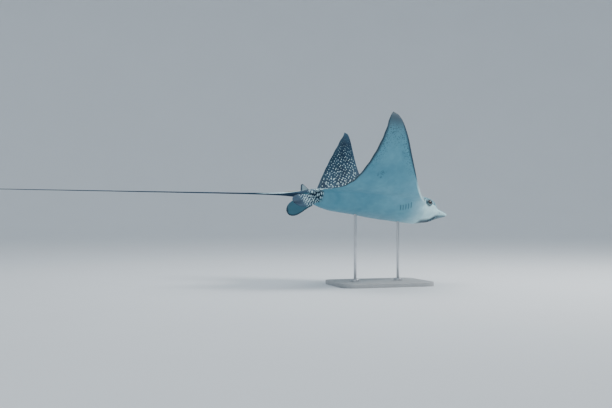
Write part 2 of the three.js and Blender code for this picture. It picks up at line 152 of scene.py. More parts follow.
def between(value, rise, fall):
    """1 from the end of one soft step to the start of the other, each given as low and high."""
    return soft_step(value, *rise) * (1 - soft_step(value, *fall))


def dome(distance, reach):
    """1 at the middle, falling smoothly to 0 at reach."""
    return np.clip(1 - (distance / reach) ** 2, 0, 1) ** 2


def ridge(distance, width):
    """1 along a line, dying away over its width on both sides."""
    return np.exp(-(distance / width) ** 2)


def crowded(share, even):
    """Shares of a length, even to this degree and otherwise closer together towards 1."""
    return even * share + (1 - even) * np.sin(math.pi / 2 * share)


def unit(vector):
    vector = np.asarray(vector, float)
    return vector / np.linalg.norm(vector)


# ---------------------------------------------------------------- outline and profiles of the body
leading_edge = through(
    (118, -180), (225, -256), (375, -352), (525, -427), (637, -471), (700, -500), (738, -530), (750, -560)
)
trailing_edge = through(
    (0, -860), (60, -860), (85, -852), (120, -834), (187, -792), (300, -735), (412, -689),
    (525, -646), (637, -608), (700, -590), (738, -573), (750, -562),
)
back_height = through(
    (8, -26), (0, -18), (-12, -14), (-32, -7), (-52, -1), (-70, 5), (-81, 18), (-90, 32), (-99, 42),
    (-110, 49), (-125, 54), (-150, 58), (-195, 65), (-250, 75), (-350, 83), (-450, 79), (-600, 63),
    (-750, 42), (-860, 28),
)
belly_depth = through(
    (8, 28), (0, 34), (-30, 44), (-80, 64), (-130, 82), (-165, 90), (-200, 95), (-300, 93),
    (-400, 90), (-500, 85), (-600, 82), (-700, 82), (-780, 72), (-830, 58), (-860, 46),
)
head_side = through(
    (8, -27), (-30, -25), (-60, -20), (-85, -11), (-110, 0), (-145, 6), (-175, 3), (-195, 0)
)
head_half_width = through(
    (8, 4), (3, 18), (-25, 40), (-57, 52), (-76, 60), (-95, 76), (-120, 91), (-150, 99), (-175, 107),
    (-195, 118),
)
brow_square = plain((0.008, 1), (-0.060, 0.85), (-0.100, 0.64), (-0.160, 0.62), (-0.195, 0.8))
jaw_square = plain((0.008, 1), (-0.160, 1), (-0.195, 0.8))
trunk_half_width = through(
    (-195, 118), (-240, 142), (-330, 192), (-450, 215), (-600, 185), (-750, 125), (-860, 50)
)
trunk_fall = plain((-0.195, 0.4), (-0.260, 0.8), (-0.400, 1.35), (-0.700, 1.2), (-0.860, 0.6))
wing_slope = plain((0, 0), (hinge_span, 0), (0.250, 21.5), (0.400, 60), (0.550, 83), (half_span, 112))
lean_share = plain((0, 0), (hinge_span, 0), (0.250, 1), (half_span, 1))
tail_half_width = through(
    (0, 50), (45, 31), (95, 18), (170, 9.5), (270, 6), (410, 4.3), (1690, 1.8), (2250, 1)
)
tail_half_height = through(
    (0, 37), (45, 23), (95, 15), (170, 9), (270, 6), (410, 4.3), (1690, 1.8), (2250, 1)
)


wing_root_thickness, wing_blade_thickness = 0.060, 0.006


def wing_thickness(span):
    outward = span / half_span
    fleshy = wing_root_thickness * (1 - outward) ** 1.3
    return fleshy + wing_blade_thickness * (1 - outward ** 6) + edge_thickness


def wing_section(share):
    """Height of a wing section along its chord, rounded in front and thin behind."""
    s = np.clip(share, 0, 1)
    return 5 * (0.2969 * np.sqrt(s) - 0.126 * s - 0.3516 * s ** 2 + 0.2843 * s ** 3 - 0.1036 * s ** 4)


roll_step = 0.0025


def rolled_wing(side):
    """Where the middle line of a wing lies, span by span, once it is raised."""
    spans = np.arange(0, half_span + roll_step, roll_step)
    middles = spans[:-1] + roll_step / 2
    slope = np.radians(wing_slope(middles) + side * wing_lean * lean_share(middles))
    across = np.concatenate([[0], np.cumsum(roll_step * np.cos(slope))])
    upward = np.concatenate([[0], np.cumsum(roll_step * np.sin(slope))])
    return spans, across, upward


rolled = {1: rolled_wing(1), -1: rolled_wing(-1)}


def wing_hinge(span):
    return hinge_ahead * leading_edge(span) + (1 - hinge_ahead) * trailing_edge(span)


def on_wing(side, x, span, off):
    """Points of the flat disc, off its middle plane, on the raised wing of one side."""
    spans, across, upward = rolled[side]
    slope = np.radians(wing_slope(span) + side * wing_lean * lean_share(span))
    outward = np.clip((span - hinge_span) / (half_span - hinge_span), 0, 1)
    at_tip, lateness = wing_twist[side]
    twist = at_tip * outward ** lateness
    hinge_x = np.where(span > neck_half_width, wing_hinge(span), x)
    along = (x - hinge_x) * np.cos(twist) - off * np.sin(twist)
    above = (x - hinge_x) * np.sin(twist) + off * np.cos(twist)
    y = side * (np.interp(span, spans, across) - np.sin(slope) * above)
    z = np.interp(span, spans, upward) + np.cos(slope) * above
    return np.stack([hinge_x + along, y, z], -1)


# The line of the tail, with the way it points at each length.
tail_step = 0.0025
tail_stops = np.arange(0, tail_length + 2 * tail_step, tail_step)
tail_bend = soft_step(tail_stops, 0, tail_turn)
tail_run = np.stack([
    -np.cos(tail_droop * tail_bend) * np.cos(tail_yaw * tail_bend),
    np.sin(tail_yaw * tail_bend),
    -np.sin(tail_droop * tail_bend),
], -1)
tail_line = np.array([vent_x, 0, tail_start_z]) + np.concatenate(
    [np.zeros((1, 3)), np.cumsum(tail_run[1:] * tail_step, 0)]
)


def on_tail(length, across, up):
    """Points beside the tail's line: across to the left and up off it."""
    length, across, up = np.broadcast_arrays(np.asarray(length, float), across, up)
    middle = np.stack([np.interp(length, tail_stops, tail_line[:, k]) for k in range(3)], -1)
    bend = soft_step(length, 0, tail_turn)
    return middle + np.stack([
        -np.sin(tail_droop * bend) * up + np.sin(tail_yaw * bend) * across,
        across * np.cos(tail_yaw * bend),
        up * np.cos(tail_droop * bend),
    ], -1)


# ---------------------------------------------------------------- one mesh, sheet by sheet
class Sheets:
    """Gathers points, and faces of up to four sides. Each corner of a face also says where it lies on
    the flat animal, how far it is from the leading and trailing edges, how much of it is belly, and
    where it lies on the unrolled map."""

    def __init__(self):
        self.points = []
        self.faces = []
        self.flat = []
        self.edges = []
        self.under = []
        self.unrolled = []

    def add_points(self, points):
        first = sum(len(p) for p in self.points)
        flat = np.asarray(points, float).reshape(-1, 3)
        self.points.append(flat)
        return np.arange(first, first + len(flat)).reshape(np.shape(points)[:-1])

    def add_sheet(self, ids, flat, edges, under, unrolled, order=slice(None)):
        """ids is a grid of point numbers. The rest are grids of two numbers a corner, or the two numbers
        that all corners share. order turns round the rows or the columns of all of them."""
        maps = [np.broadcast_to(values, (*ids.shape, 2))[order] for values in (flat, edges, under, unrolled)]
        ids = ids[order]
        rows, columns = ids.shape
        for r in range(rows - 1):
            for c in range(columns - 1):
                corners = {}
                for corner in ((r, c), (r, c + 1), (r + 1, c + 1), (r + 1, c)):
                    corners.setdefault(int(ids[corner]), corner)
                if len(corners) > 2:
                    self.add_face(list(corners), *([grid[k] for k in corners.values()] for grid in maps))

    def add_face(self, ids, flat, edges, under, unrolled):
        """The same for the corners of one face."""
        self.faces.append(ids)
        self.flat += flat
        self.edges += edges
        self.under += under
        self.unrolled += unrolled

    def make(self, name):
        mesh = bpy.data.meshes.new(name)
        mesh.from_pydata(np.concatenate(self.points).tolist(), [], self.faces)
        maps = {"OFBake": self.unrolled, "flat": self.flat, "edges": self.edges, "under": self.under}
        for map_name, values in maps.items():
            layer = mesh.uv_layers.new(name=map_name)
            layer.data.foreach_set("uv", np.array(values, np.float32).ravel())
        piece = bpy.data.objects.new(name, mesh)
        bpy.context.collection.objects.link(piece)
        return piece


def pair(first, second):
    first, second = np.broadcast_arrays(np.asarray(first, float), np.asarray(second, float))
    return np.stack([first, second], -1)


def fitted(box, across, along):
    """Shares of a box of the unrolled map, given as left, bottom, width and height."""
    left, bottom, width, height = box
    return pair(left + width * across, bottom + height * along)


# Places of the sheets on the unrolled map.
map_back = (0.005, 0.70, 0.99, 0.295)
map_belly = (0.005, 0.40, 0.99, 0.295)
map_head = (0.005, 0.005, 0.52, 0.39)
map_tail_root = (0.535, 0.26, 0.46, 0.135)
map_whip = (0.535, 0.205, 0.46, 0.05)
map_fin = {1: (0.535, 0.005, 0.15, 0.195), -1: (0.690, 0.005, 0.15, 0.195), 0: (0.845, 0.005, 0.15, 0.195)}

# What corners share: the two ways to read a sheet backwards, all back or all belly, and no edge near.
rows_back = slice(None, None, -1)
columns_back = (slice(None), slice(None, None, -1))
back_side, belly_side = (0.0, 0.0), (1.0, 0.0)
far_from_edges = (0.5, 0.5)

# ---------------------------------------------------------------- the disc: trunk and wings
half_columns = 32        # across the trunk, from the midline to the neck's width
tail_columns = 9         # of these, as many as run on into the tail
wing_columns = 74
disc_rows = 96

tail_angle = math.asin(tail_root_half_width / neck_half_width)
column_angle = np.concatenate([
    np.linspace(0, tail_angle, tail_columns + 1),
    np.linspace(tail_angle, math.pi / 2, half_columns - tail_columns + 1)[1:],
])
trunk_spans = neck_half_width * np.sin(column_angle)
wing_share = np.linspace(0, 1, wing_columns + 1)[1:]
wing_spans = neck_half_width + (half_span - neck_half_width) * crowded(wing_share, 0.45)
half_spans = np.concatenate([trunk_spans, wing_spans])
row_even = np.linspace(0, 1, disc_rows + 1)
row_share = 0.35 * row_even + 0.65 * (1 - np.cos(math.pi * row_even)) / 2
ripple_height, ripple_length = 0.0016, 0.066


def disc_half(side):
    """Both faces of one half of the disc: rows run back, columns run outward."""
    span = np.broadcast_to(half_spans, (disc_rows + 1, len(half_spans)))
    share = np.broadcast_to(row_share[:, None], span.shape)
    neck_line = neck_x + shoulder_ahead * (span / neck_half_width) ** 4
    front = np.where(span < neck_half_width, neck_line, leading_edge(span))
    back = trailing_edge(span)
    x = front + (back - front) * share
    root_front = leading_edge(neck_half_width)
    in_wing = np.clip((x - root_front) / (back - root_front), 0, 1)
    section = wing_section(np.where(span < neck_half_width, in_wing, share))
    wing = wing_thickness(span) * section * np.minimum(span / neck_half_width, 1) ** 2
    swell = (1 - np.minimum(span / trunk_half_width(x), 1) ** 2) ** trunk_fall(x)
    above = back_height(x) * swell + wing_above * wing
    below = belly_depth(x) * swell + wing_below * wing
    # The thin hind margin ripples a little, more towards the tip.
    rearward = soft_step(share, 0.80, 1.0) * soft_step(span, 0.16, 0.30)
    ripple = ripple_height * rearward * np.sin(2 * math.pi * span / ripple_length + 1.3 * side)
    top = on_wing(side, x, span, above + ripple)
    bottom = on_wing(side, x, span, -below + ripple)
    chord = front - back
    return x, span, top, bottom, chord * share, chord * (1 - share)


left_half = disc_half(1)
right_half = disc_half(-1)


def whole(k, signed=False):
    """Quantity k of both halves side by side, from the right wing's tip to the left wing's."""
    right = right_half[k][:, :0:-1]
    return np.concatenate([-right if signed else right, left_half[k]], 1)


disc_x = whole(0)
disc_span = whole(1, signed=True)
disc_top = whole(2)
disc_bottom = whole(3)
disc_edges = pair(whole(4), whole(5))
span_number = np.abs(np.arange(disc_x.shape[1]) - (len(half_spans) - 1))
shut = np.zeros(disc_x.shape, bool)
shut[0] = span_number >= half_columns
shut[-1] = span_number >= tail_columns
shut_middle = (disc_top + disc_bottom) / 2
disc_top[shut] = shut_middle[shut]
skin = Sheets()
top_ids = skin.add_points(disc_top)
bottom_ids = skin.add_points(disc_bottom)
bottom_ids = np.where(shut, top_ids, bottom_ids)

disc_flat = pair(disc_x, disc_span)
map_across = 0.5 + 0.5 * disc_span / half_span
map_along = np.broadcast_to(row_share[:, None], disc_x.shape)
skin.add_sheet(top_ids, disc_flat, disc_edges, back_side, fitted(map_back, map_across, 1 - map_along))
skin.add_sheet(bottom_ids, disc_flat, disc_edges, belly_side, fitted(map_belly, map_across, 1 - map_along),
               columns_back)

# A strip one face wide closes the end of each wing.
for column, tip_across, order in ((0, (0.0, 0.002), slice(None)), (-1, (0.998, 1.0), columns_back)):
    tip_ids = np.stack([top_ids[:, column], bottom_ids[:, column]], -1)
    tip_unrolled = fitted(map_back, np.array(tip_across), 1 - map_along[:, [column]])
    skin.add_sheet(tip_ids, disc_flat[:, [column]], disc_edges[:, [column]], (back_side, belly_side),
                   tip_unrolled, order)

# ---------------------------------------------------------------- rings of the head and of the tail
def ring_of(grid_top, grid_bottom, row, half):
    """The ring of points round the front or the back of the trunk, over the top and back under."""
    middle = len(half_spans) - 1
    over = grid_top[row, middle - half:middle + half + 1]
    under = grid_bottom[row, middle + half - 1:middle - half:-1]
    return np.concatenate([over, under])


def ring_shares(half):
    """How far to the left each point of such a ring is, from -1 to 1, and +1 over or -1 under."""
    spans = trunk_spans[:half + 1] / trunk_spans[half]
    over = np.concatenate([-spans[:0:-1], spans])
    under = over[-2:0:-1]
    return np.concatenate([over, under]), np.concatenate([np.ones(len(over)), -np.ones(len(under))])


head_rings = 112
head_left, head_over = ring_shares(half_columns)
head_run = crowded(np.linspace(0, 1, head_rings + 1)[1:], 0.55)
head_ring_x = (neck_x + (bill_tip_x - neck_x) * head_run)[:, None]
lead = shoulder_ahead * (1 - soft_step(head_ring_x, neck_x, -0.140))
head_x = head_ring_x + lead * head_left ** 4
curve = 1 - head_left ** 2
lift = np.where(head_over > 0, curve ** (brow_square(head_x) / 2), curve ** (jaw_square(head_x) / 2))
extreme = np.where(head_over > 0, back_height(head_x), -belly_depth(head_x))
head_z = head_side(head_x) + (extreme - head_side(head_x)) * lift
head_points = np.stack([head_x, head_half_width(head_x) * head_left, head_z], -1)
neck_ids = ring_of(top_ids, bottom_ids, 0, half_columns)
neck_points = ring_of(disc_top, disc_bottom, 0, half_columns)
head_ids = np.concatenate([neck_ids[None], skin.add_points(head_points)])
head_places = np.concatenate([neck_points[None], head_points])


def closed(grid):
    """A ring's grid with its first column again at the end."""
    return np.concatenate([grid, grid[:, :1]], 1)


def round_the_ring(places):
    """Length round each ring from its topmost point, to the left positive."""
    step = np.linalg.norm(np.diff(closed(places), axis=1), axis=2)
    along = np.concatenate([np.zeros((len(places), 1)), np.cumsum(step, 1)], 1)
    top = places.shape[1] // 4
    return along - along[:, [top]], along[:, -1:]


head_round, head_girth = round_the_ring(head_places)
wrapped = np.where(head_round > head_girth / 2, head_round - head_girth, head_round)
flat_y = closed(np.abs(wrapped[:, :-1]) * np.sign(np.where(head_left == 0, 1, head_left)))
near_neck = 1 - soft_step(closed(head_places)[..., 0], neck_x, neck_x + 0.05)
flat_y = flat_y * (1 - near_neck) + closed(head_places)[..., 1] * near_neck
# Pale skin begins below this line along the side of the head.
pale_line = through(
    (8, -25), (-40, -20), (-85, -4), (-120, 6), (-145, 9), (-165, 5), (-182, -3), (-195, -5)
)
pale_blend = 0.009
head_grid = closed(head_places)
head_under = 1 - soft_step(head_grid[..., 2] - pale_line(head_grid[..., 0]), -pale_blend, pale_blend)
# Where the underside of the head faces down; the skin gets painted shade there.
toward_tip = soft_step(head_places[..., 0], -0.13, -0.07)
facing_down = soft_step(curve + 0.45 * toward_tip, 0.62, 0.95)
facing_down = closed(np.where(head_over < 0, facing_down, 0))
head_across = closed(np.arange(len(head_left))[None] / len(head_left) + np.zeros((head_rings + 1, 1)))
head_across[:, -1] = 1
head_along = np.concatenate([[0], head_run])[:, None]
skin.add_sheet(closed(head_ids), pair(head_grid[..., 0], flat_y), far_from_edges,
               pair(head_under, facing_down), fitted(map_head, head_across, head_along), rows_back)

# The bill ends in a fan of faces round one point.
bill_nose = skin.add_points(np.array([[bill_tip_x + 0.0008, 0, -0.027]]))[0]
tip_ring = closed(head_ids)[-1]
nose_ids = np.stack([np.full(len(tip_ring), bill_nose), tip_ring])
skin.add_sheet(nose_ids, (bill_tip_x, 0.0), far_from_edges, (0.5, 0.5),
               fitted(map_head, head_across[:2], np.array([[1.0], [0.995]])))

# The tail starts as the trunk's own end and soon becomes a round whip.
tail_left, tail_over = ring_shares(tail_columns)
vent_ids = ring_of(top_ids, bottom_ids, -1, tail_columns)
vent_points = ring_of(disc_top, disc_bottom, -1, tail_columns)


def tail_rings(lengths, left, over):
    s = np.asarray(lengths)[:, None]
    settled = soft_step(s, 0, 0.060)
    fullness = 0.6 - 0.1 * settled         # 0.5 is a circle
    side_up = -tail_start_z * (1 - settled)
    height = tail_half_height(s) * np.where(over > 0, 1, -1)
    up = side_up + (height - side_up) * (1 - left ** 2) ** fullness
    return on_tail(s, tail_half_width(s) * left, up)


def add_tail_sheet(ids, places, lengths, box, first_length, last_length):
    around, girth = round_the_ring(places)
    turned = np.where(around > girth / 2, around - girth, around)
    grid = closed(places)
    count = places.shape[1]
    across = np.broadcast_to(np.arange(count + 1) / count, turned.shape)
    along = (np.asarray(lengths)[:, None] - first_length) / (last_length - first_length)
    lowness = closed((1 - (places[..., 2] - places[..., 2].min(1, keepdims=True))
                      / np.ptp(places[..., 2], axis=1)[:, None]))
    skin.add_sheet(closed(ids), pair(grid[..., 0], turned), far_from_edges, pair(lowness, 0),
                   fitted(box, along, across))
    return turned, lowness


root_narrow, root_end, whip_slender = 0.120, 0.270, 0.900
whip_ring = 18
root_lengths = np.concatenate([np.linspace(0, root_narrow, 41), np.linspace(root_narrow, root_end, 31)[1:]])
root_places = np.concatenate([vent_points[None], tail_rings(root_lengths[1:], tail_left, tail_over)])
root_ids = np.concatenate([vent_ids[None], skin.add_points(root_places[1:])])
root_turned, root_low = add_tail_sheet(root_ids, root_places, root_lengths, map_tail_root, 0, root_end)

whip_lengths = np.concatenate([
    np.linspace(root_end, whip_slender, 50)[1:], np.linspace(whip_slender, tail_length, 80)[1:]
])
thinned = slice(None, None, 2)
whip_places = tail_rings(whip_lengths, tail_left[thinned], tail_over[thinned])
whip_ids = skin.add_points(whip_places)
whip_turned, whip_low = add_tail_sheet(whip_ids, whip_places, whip_lengths, map_whip, root_end, tail_length)

# One belt of faces joins the last ring of the root to the first of the whip, which has half as many.
belt_from = closed(root_ids)[-1]
belt_to = closed(whip_ids[:1])[0]
left, bottom, _, height = map_whip


def belt_corner(on_whip, column):
    """A corner of the belt: its point and all that its face must know there."""
    if on_whip:
        point, length, across = belt_to[column], whip_lengths[0], whip_turned[0, column]
        low, unrolled = whip_low[0, column], (left, bottom + height * column / whip_ring)
    else:
        point, length, across = belt_from[column], root_end, root_turned[-1, column]
        low, unrolled = root_low[-1, column], (left - 0.002, bottom + height * column / (2 * whip_ring))
    return int(point), (vent_x - length, across), far_from_edges, (low, 0.0), unrolled


for k in range(whip_ring):
    for corners in (
        ((False, 2 * k), (False, 2 * k + 1), (True, k)),
        ((False, 2 * k + 1), (False, 2 * k + 2), (True, k + 1), (True, k)),
    ):
        skin.add_face(*(list(values) for values in zip(*(belt_corner(*corner) for corner in corners))))
end_ring = closed(whip_ids)[-1]
tail_end = skin.add_points(on_tail(np.array([tail_length + 0.001]), 0, 0))[0]
end_ids = np.stack([end_ring, np.full(len(end_ring), tail_end)])
skin.add_sheet(end_ids, (vent_x - tail_length, 0), far_from_edges, (0.5, 0),
               fitted(map_whip, np.array([[0.999], [1.0]]), np.linspace(0, 1, len(end_ring))[None]))
ray_skin = skin.make("ray_skin")


# ---------------------------------------------------------------- finer mesh where the detail is
def refine(piece, inside, cuts):
    """Divides the faces whose middle lies inside a region of the body frame."""
    work = bmesh.new()
    work.from_mesh(piece.data)
    edges = {e for f in work.faces if inside(f.calc_center_median()) for e in f.edges}
    bmesh.ops.subdivide_edges(work, edges=list(edges), cuts=cuts, use_grid_fill=True)
    work.to_mesh(piece.data)
    work.free()


def ball_round(middle, reach):
    """The region round a point of the left side, and round its mirror image."""
    return lambda c: math.dist((c.x, abs(c.y), c.z), middle) < reach


def block_under(x_range, y_range, top):
    """The region below a height between two lengths and two widths, on both sides."""
    return lambda c: x_range[0] < c.x < x_range[1] and y_range[0] <= abs(c.y) < y_range[1] and c.z < top


gill_count = 5
gill_first = (-0.2915, 0.153)
gill_step = (-0.0152, -0.0035)
gill_half_length, gill_fade = 0.0185, 0.006
gill_slant, gill_bow = 0.38, 6.0
gill_width, gill_depth, gill_shade = 0.0019, 0.0042, 0.48
mouth_x, mouth_half_width, mouth_bow = -0.121, 0.040, 5.0
mouth_width, mouth_depth = 0.0020, 0.0065
flap_half_width, flap_front = 0.026, (-0.092, -0.082)
nostril_x, nostril_y = -0.088, 0.036
nostril_length, nostril_width, nostril_depth = 0.0050, 0.0070, 0.0060
spiracle = (-0.183, 0.097, 0.036)
spiracle_along = unit((-0.80, 0.50, 0.33))
spiracle_half_length, spiracle_half_width, spiracle_depth = 0.0150, 0.0070, 0.0085

refine(ray_skin, ball_round((eye_x, eye_y, eye_z), 0.036), 2)
refine(ray_skin, block_under((-0.375, -0.270), (0.110, 0.185), 0), 3)
refine(ray_skin, block_under((-0.145, -0.072), (0, 0.055), -0.030), 2)
refine(ray_skin, ball_round(spiracle, 0.024), 1)

# ---------------------------------------------------------------- sculpting
skin_mesh = ray_skin.data


def skin_arrays():
    """The place and the outward direction of every point of the skin."""
    count = len(skin_mesh.vertices)
    places = np.empty(count * 3)
    skin_mesh.vertices.foreach_get("co", places)
    normals = np.empty(count * 3)
    skin_mesh.vertices.foreach_get("normal", normals)
    return places.reshape(-1, 3), normals.reshape(-1, 3)


def face_outward(piece):
    select_only(piece)
    bpy.ops.object.mode_set(mode="EDIT")
    bpy.ops.mesh.select_all(action="SELECT")
    bpy.ops.mesh.normals_make_consistent(inside=False)
    bpy.ops.object.mode_set(mode="OBJECT")


face_outward(ray_skin)
place, normal = skin_arrays()
across = np.abs(place[:, 1])
recess_shade = np.zeros(len(place))


def press(amount, direction=None):
    """Pushes the skin inward by an amount a point, along its normal unless told another way."""
    place[:] = place - (normal if direction is None else np.asarray(direction)) * amount[:, None]


# Painted shade: darkens the skin's colour in recesses, keeping the darkest amount for each point.
def paint_recess_shade(amount):
    recess_shade[:] = np.maximum(recess_shade, amount)


# The lids part along and up by these angles from the middle of the eyeball.
lid_along, lid_up = math.radians(54), math.radians(44)
lid_reach = 0.045
lid_rim, lid_gap, lid_tuck = 0.0024, 0.0010, 0.0030
socket_length, socket_height, socket_shade = 0.0235, 0.0190, 0.72
brow_height, brow_reach = 0.0022, 0.024


def open_eye(side):
    """Draws the skin back round the eyeball and raises a rim and a soft brow over it."""
    middle = np.array([eye_x, side * eye_y, eye_z])
    outward = unit((eye_outward, side, eye_tilt))
    forward = unit(np.cross(np.cross(outward, (1, 0, -0.25)), outward))
    upward = np.cross(forward, outward) * -side
    away = place - middle
    reach = np.linalg.norm(away, axis=1)
    ray = away / reach[:, None]
    angle = np.arccos(np.clip(ray @ outward, -1, 1))
    turn = np.arctan2(ray @ upward, ray @ forward)
    # q is 1 on the edge of the lids, less inside the opening and more outside.
    q = angle / (lid_along * np.cos(turn) ** 2 + lid_up * np.sin(turn) ** 2)
    close = reach < lid_reach
    inside = (q < 1.0) & close
    near = (q >= 1.0) & (q < 2.4) & close
    behind_eye = eye_radius - lid_tuck * soft_step(1.0 - q, 0, 0.16) + 0.0008 * (q > 0.97)
    rim = np.maximum(eye_radius + lid_gap + lid_rim * ridge(q - 1.14, 0.15), reach)
    fade = 1 - soft_step(q, 1.35, 2.2)
    wanted = np.where(inside, behind_eye, reach)
    wanted = np.where(near, np.maximum(reach, reach * (1 - fade) + rim * fade), wanted)
    crease = 0.0014 * ridge(q - 1.55, 0.10) * near
    place[:] = middle + ray * (wanted - crease)[:, None]
    # Painted shade: the skin inside the lids and along their edge, and an oval socket round the eyeball, are
    # darkened.
    paint_recess_shade(np.where(inside, 1, 0) + 0.85 * near * ridge(q - 1.0, 0.20))
    socket_off = place - (eye_x - 0.005, side * eye_y, eye_z - 0.004)
    socket_q = np.hypot(socket_off @ unit((1, 0, -0.35)) / socket_length,
                        socket_off @ unit((0.35, 0, 1)) / socket_height)
    paint_recess_shade(socket_shade * (1 - soft_step(socket_q, 0.80, 1.12)) * close)
    brow_middle = (eye_x + 0.004, side * (eye_y - 0.012), eye_z + 0.034)
    place[:, 2] += brow_height * dome(np.linalg.norm(place - brow_middle, axis=1), brow_reach)


for side in (1, -1):
    open_eye(side)

# Spiracles: a deep oval opening behind each eye.
spiracle_off = np.stack([place[:, 0], across, place[:, 2]], -1) - spiracle
spiracle_run = spiracle_off @ spiracle_along
spiracle_side = np.linalg.norm(spiracle_off - spiracle_run[:, None] * spiracle_along, axis=1)
spiracle_q = np.hypot(spiracle_run / spiracle_half_length, spiracle_side / spiracle_half_width)
press(spiracle_depth * (1 - soft_step(spiracle_q, 0.55, 1.05)) - 0.0009 * ridge(spiracle_q - 1.3, 0.25))
# Painted shade in the spiracle.
paint_recess_shade(1 - soft_step(spiracle_q, 0.6, 1.1))

# The mouth, a nearly straight slit, with the flap of the nostrils in front of it.
x = place[:, 0]
underneath = soft_step(-normal[:, 2], 0.25, 0.55)
slit_x = mouth_x - mouth_bow * across ** 2
within_mouth = (1 - soft_step(across, mouth_half_width - 0.006, mouth_half_width + 0.002)) * underneath
slit = ridge(x - slit_x, mouth_width) * within_mouth
lip = ridge(x - slit_x + 0.0075, 0.0045) * within_mouth
flap = soft_step(x, slit_x + 0.0005, slit_x + 0.003) * (1 - soft_step(x, *flap_front))
flap = flap * (1 - soft_step(across, flap_half_width, flap_half_width + 0.004)) * underneath
down = (0, 0, -1)
press(mouth_depth * slit - 0.0016 * lip - 0.0022 * flap, down)
# Painted shade in the mouth's slit.
paint_recess_shade(0.70 * slit)

# The nostrils, each with a channel back to a corner of the mouth.
x = place[:, 0]
nostril_q = np.hypot((x - nostril_x) / nostril_length, (across - nostril_y) / nostril_width)
nostril = (1 - soft_step(nostril_q, 0.5, 1.1)) * underneath
channel_share = np.clip((nostril_x - x) / (nostril_x - mouth_x), 0, 1)
channel_y = nostril_y - 0.004 * np.sin(math.pi * channel_share)
channel = ridge(across - channel_y, 0.0018) * underneath
channel *= between(x, (mouth_x - 0.004, mouth_x), (nostril_x, nostril_x + 0.003))
press(nostril_depth * nostril + 0.0024 * channel, down)
# Painted shade in the nostrils and their channels.
paint_recess_shade(np.maximum(0.7 * nostril, 0.25 * channel))

# The gill slits, each with a low flap in front of it.
below_middle = (place[:, 2] < 0).astype(float)
for k in range(gill_count):
    off_y = across - gill_first[1] - gill_step[1] * k
    gill_x = gill_first[0] + gill_step[0] * k - gill_slant * off_y - gill_bow * off_y ** 2
    along_gill = (1 - soft_step(np.abs(off_y), gill_half_length - gill_fade, gill_half_length)) * below_middle
    gap_x = place[:, 0] - gill_x
    cut = ridge(gap_x, gill_width) * along_gill
    gill_flap = ridge(gap_x - 0.0050, 0.0028) * along_gill
    press(gill_depth * cut - 0.0010 * gill_flap)
    # Painted shade in each gill slit.
    paint_recess_shade(gill_shade * ridge(gap_x, 0.0030) * along_gill)

# The bill's edge is a low roll, and a crease parts the bill from the forehead and runs under the eyes.
crease_line = through((8, -12), (-60, -4), (-75, 2), (-95, -14), (-125, -26), (-150, -34))
roll = ridge(place[:, 2] - head_side(place[:, 0]) - 0.003, 0.007) * soft_step(place[:, 0], -0.066, -0.050)
press(-0.0012 * roll * soft_step(across, 0.010, 0.030))
cheek_crease = ridge(place[:, 2] - crease_line(place[:, 0]), 0.0035) * soft_step(across, 0.045, 0.060)
press(0.0016 * cheek_crease * between(place[:, 0], (-0.150, -0.115), (-0.078, -0.066)))
brow_dip = ridge(place[:, 0] + 0.074, 0.006) * soft_step(normal[:, 2], 0.0, 0.4)
press(0.0014 * brow_dip * (place[:, 2] > -0.02))

# Low swellings of muscle along the back and over the shoulders, and the girdle across the belly.
behind = -place[:, 0]
on_back = soft_step(normal[:, 2], 0.2, 0.6) * (place[:, 2] > 0)
spine_furrow = ridge(across, 0.012) * between(behind, (0.22, 0.34), (0.74, 0.85))
beside_spine = ridge(across - 0.040, 0.022) * between(behind, (0.24, 0.36), (0.70, 0.84))
press((0.0022 * spine_furrow - 0.0012 * beside_spine) * on_back)
girdle = ridge(place[:, 0] + 0.392, 0.012) * (1 - soft_step(across, 0.06, 0.13)) * (place[:, 2] < 0)
press(-0.0012 * girdle)

skin_mesh.vertices.foreach_set("co", to_part(place).ravel())
# The painted shade of the recesses is kept on the skin's points for its colour.
recess_shade_layer = skin_mesh.attributes.new("recess_shade", "FLOAT", "POINT")
recess_shade_layer.data.foreach_set("value", recess_shade.astype(np.float32))
skin_mesh.update()

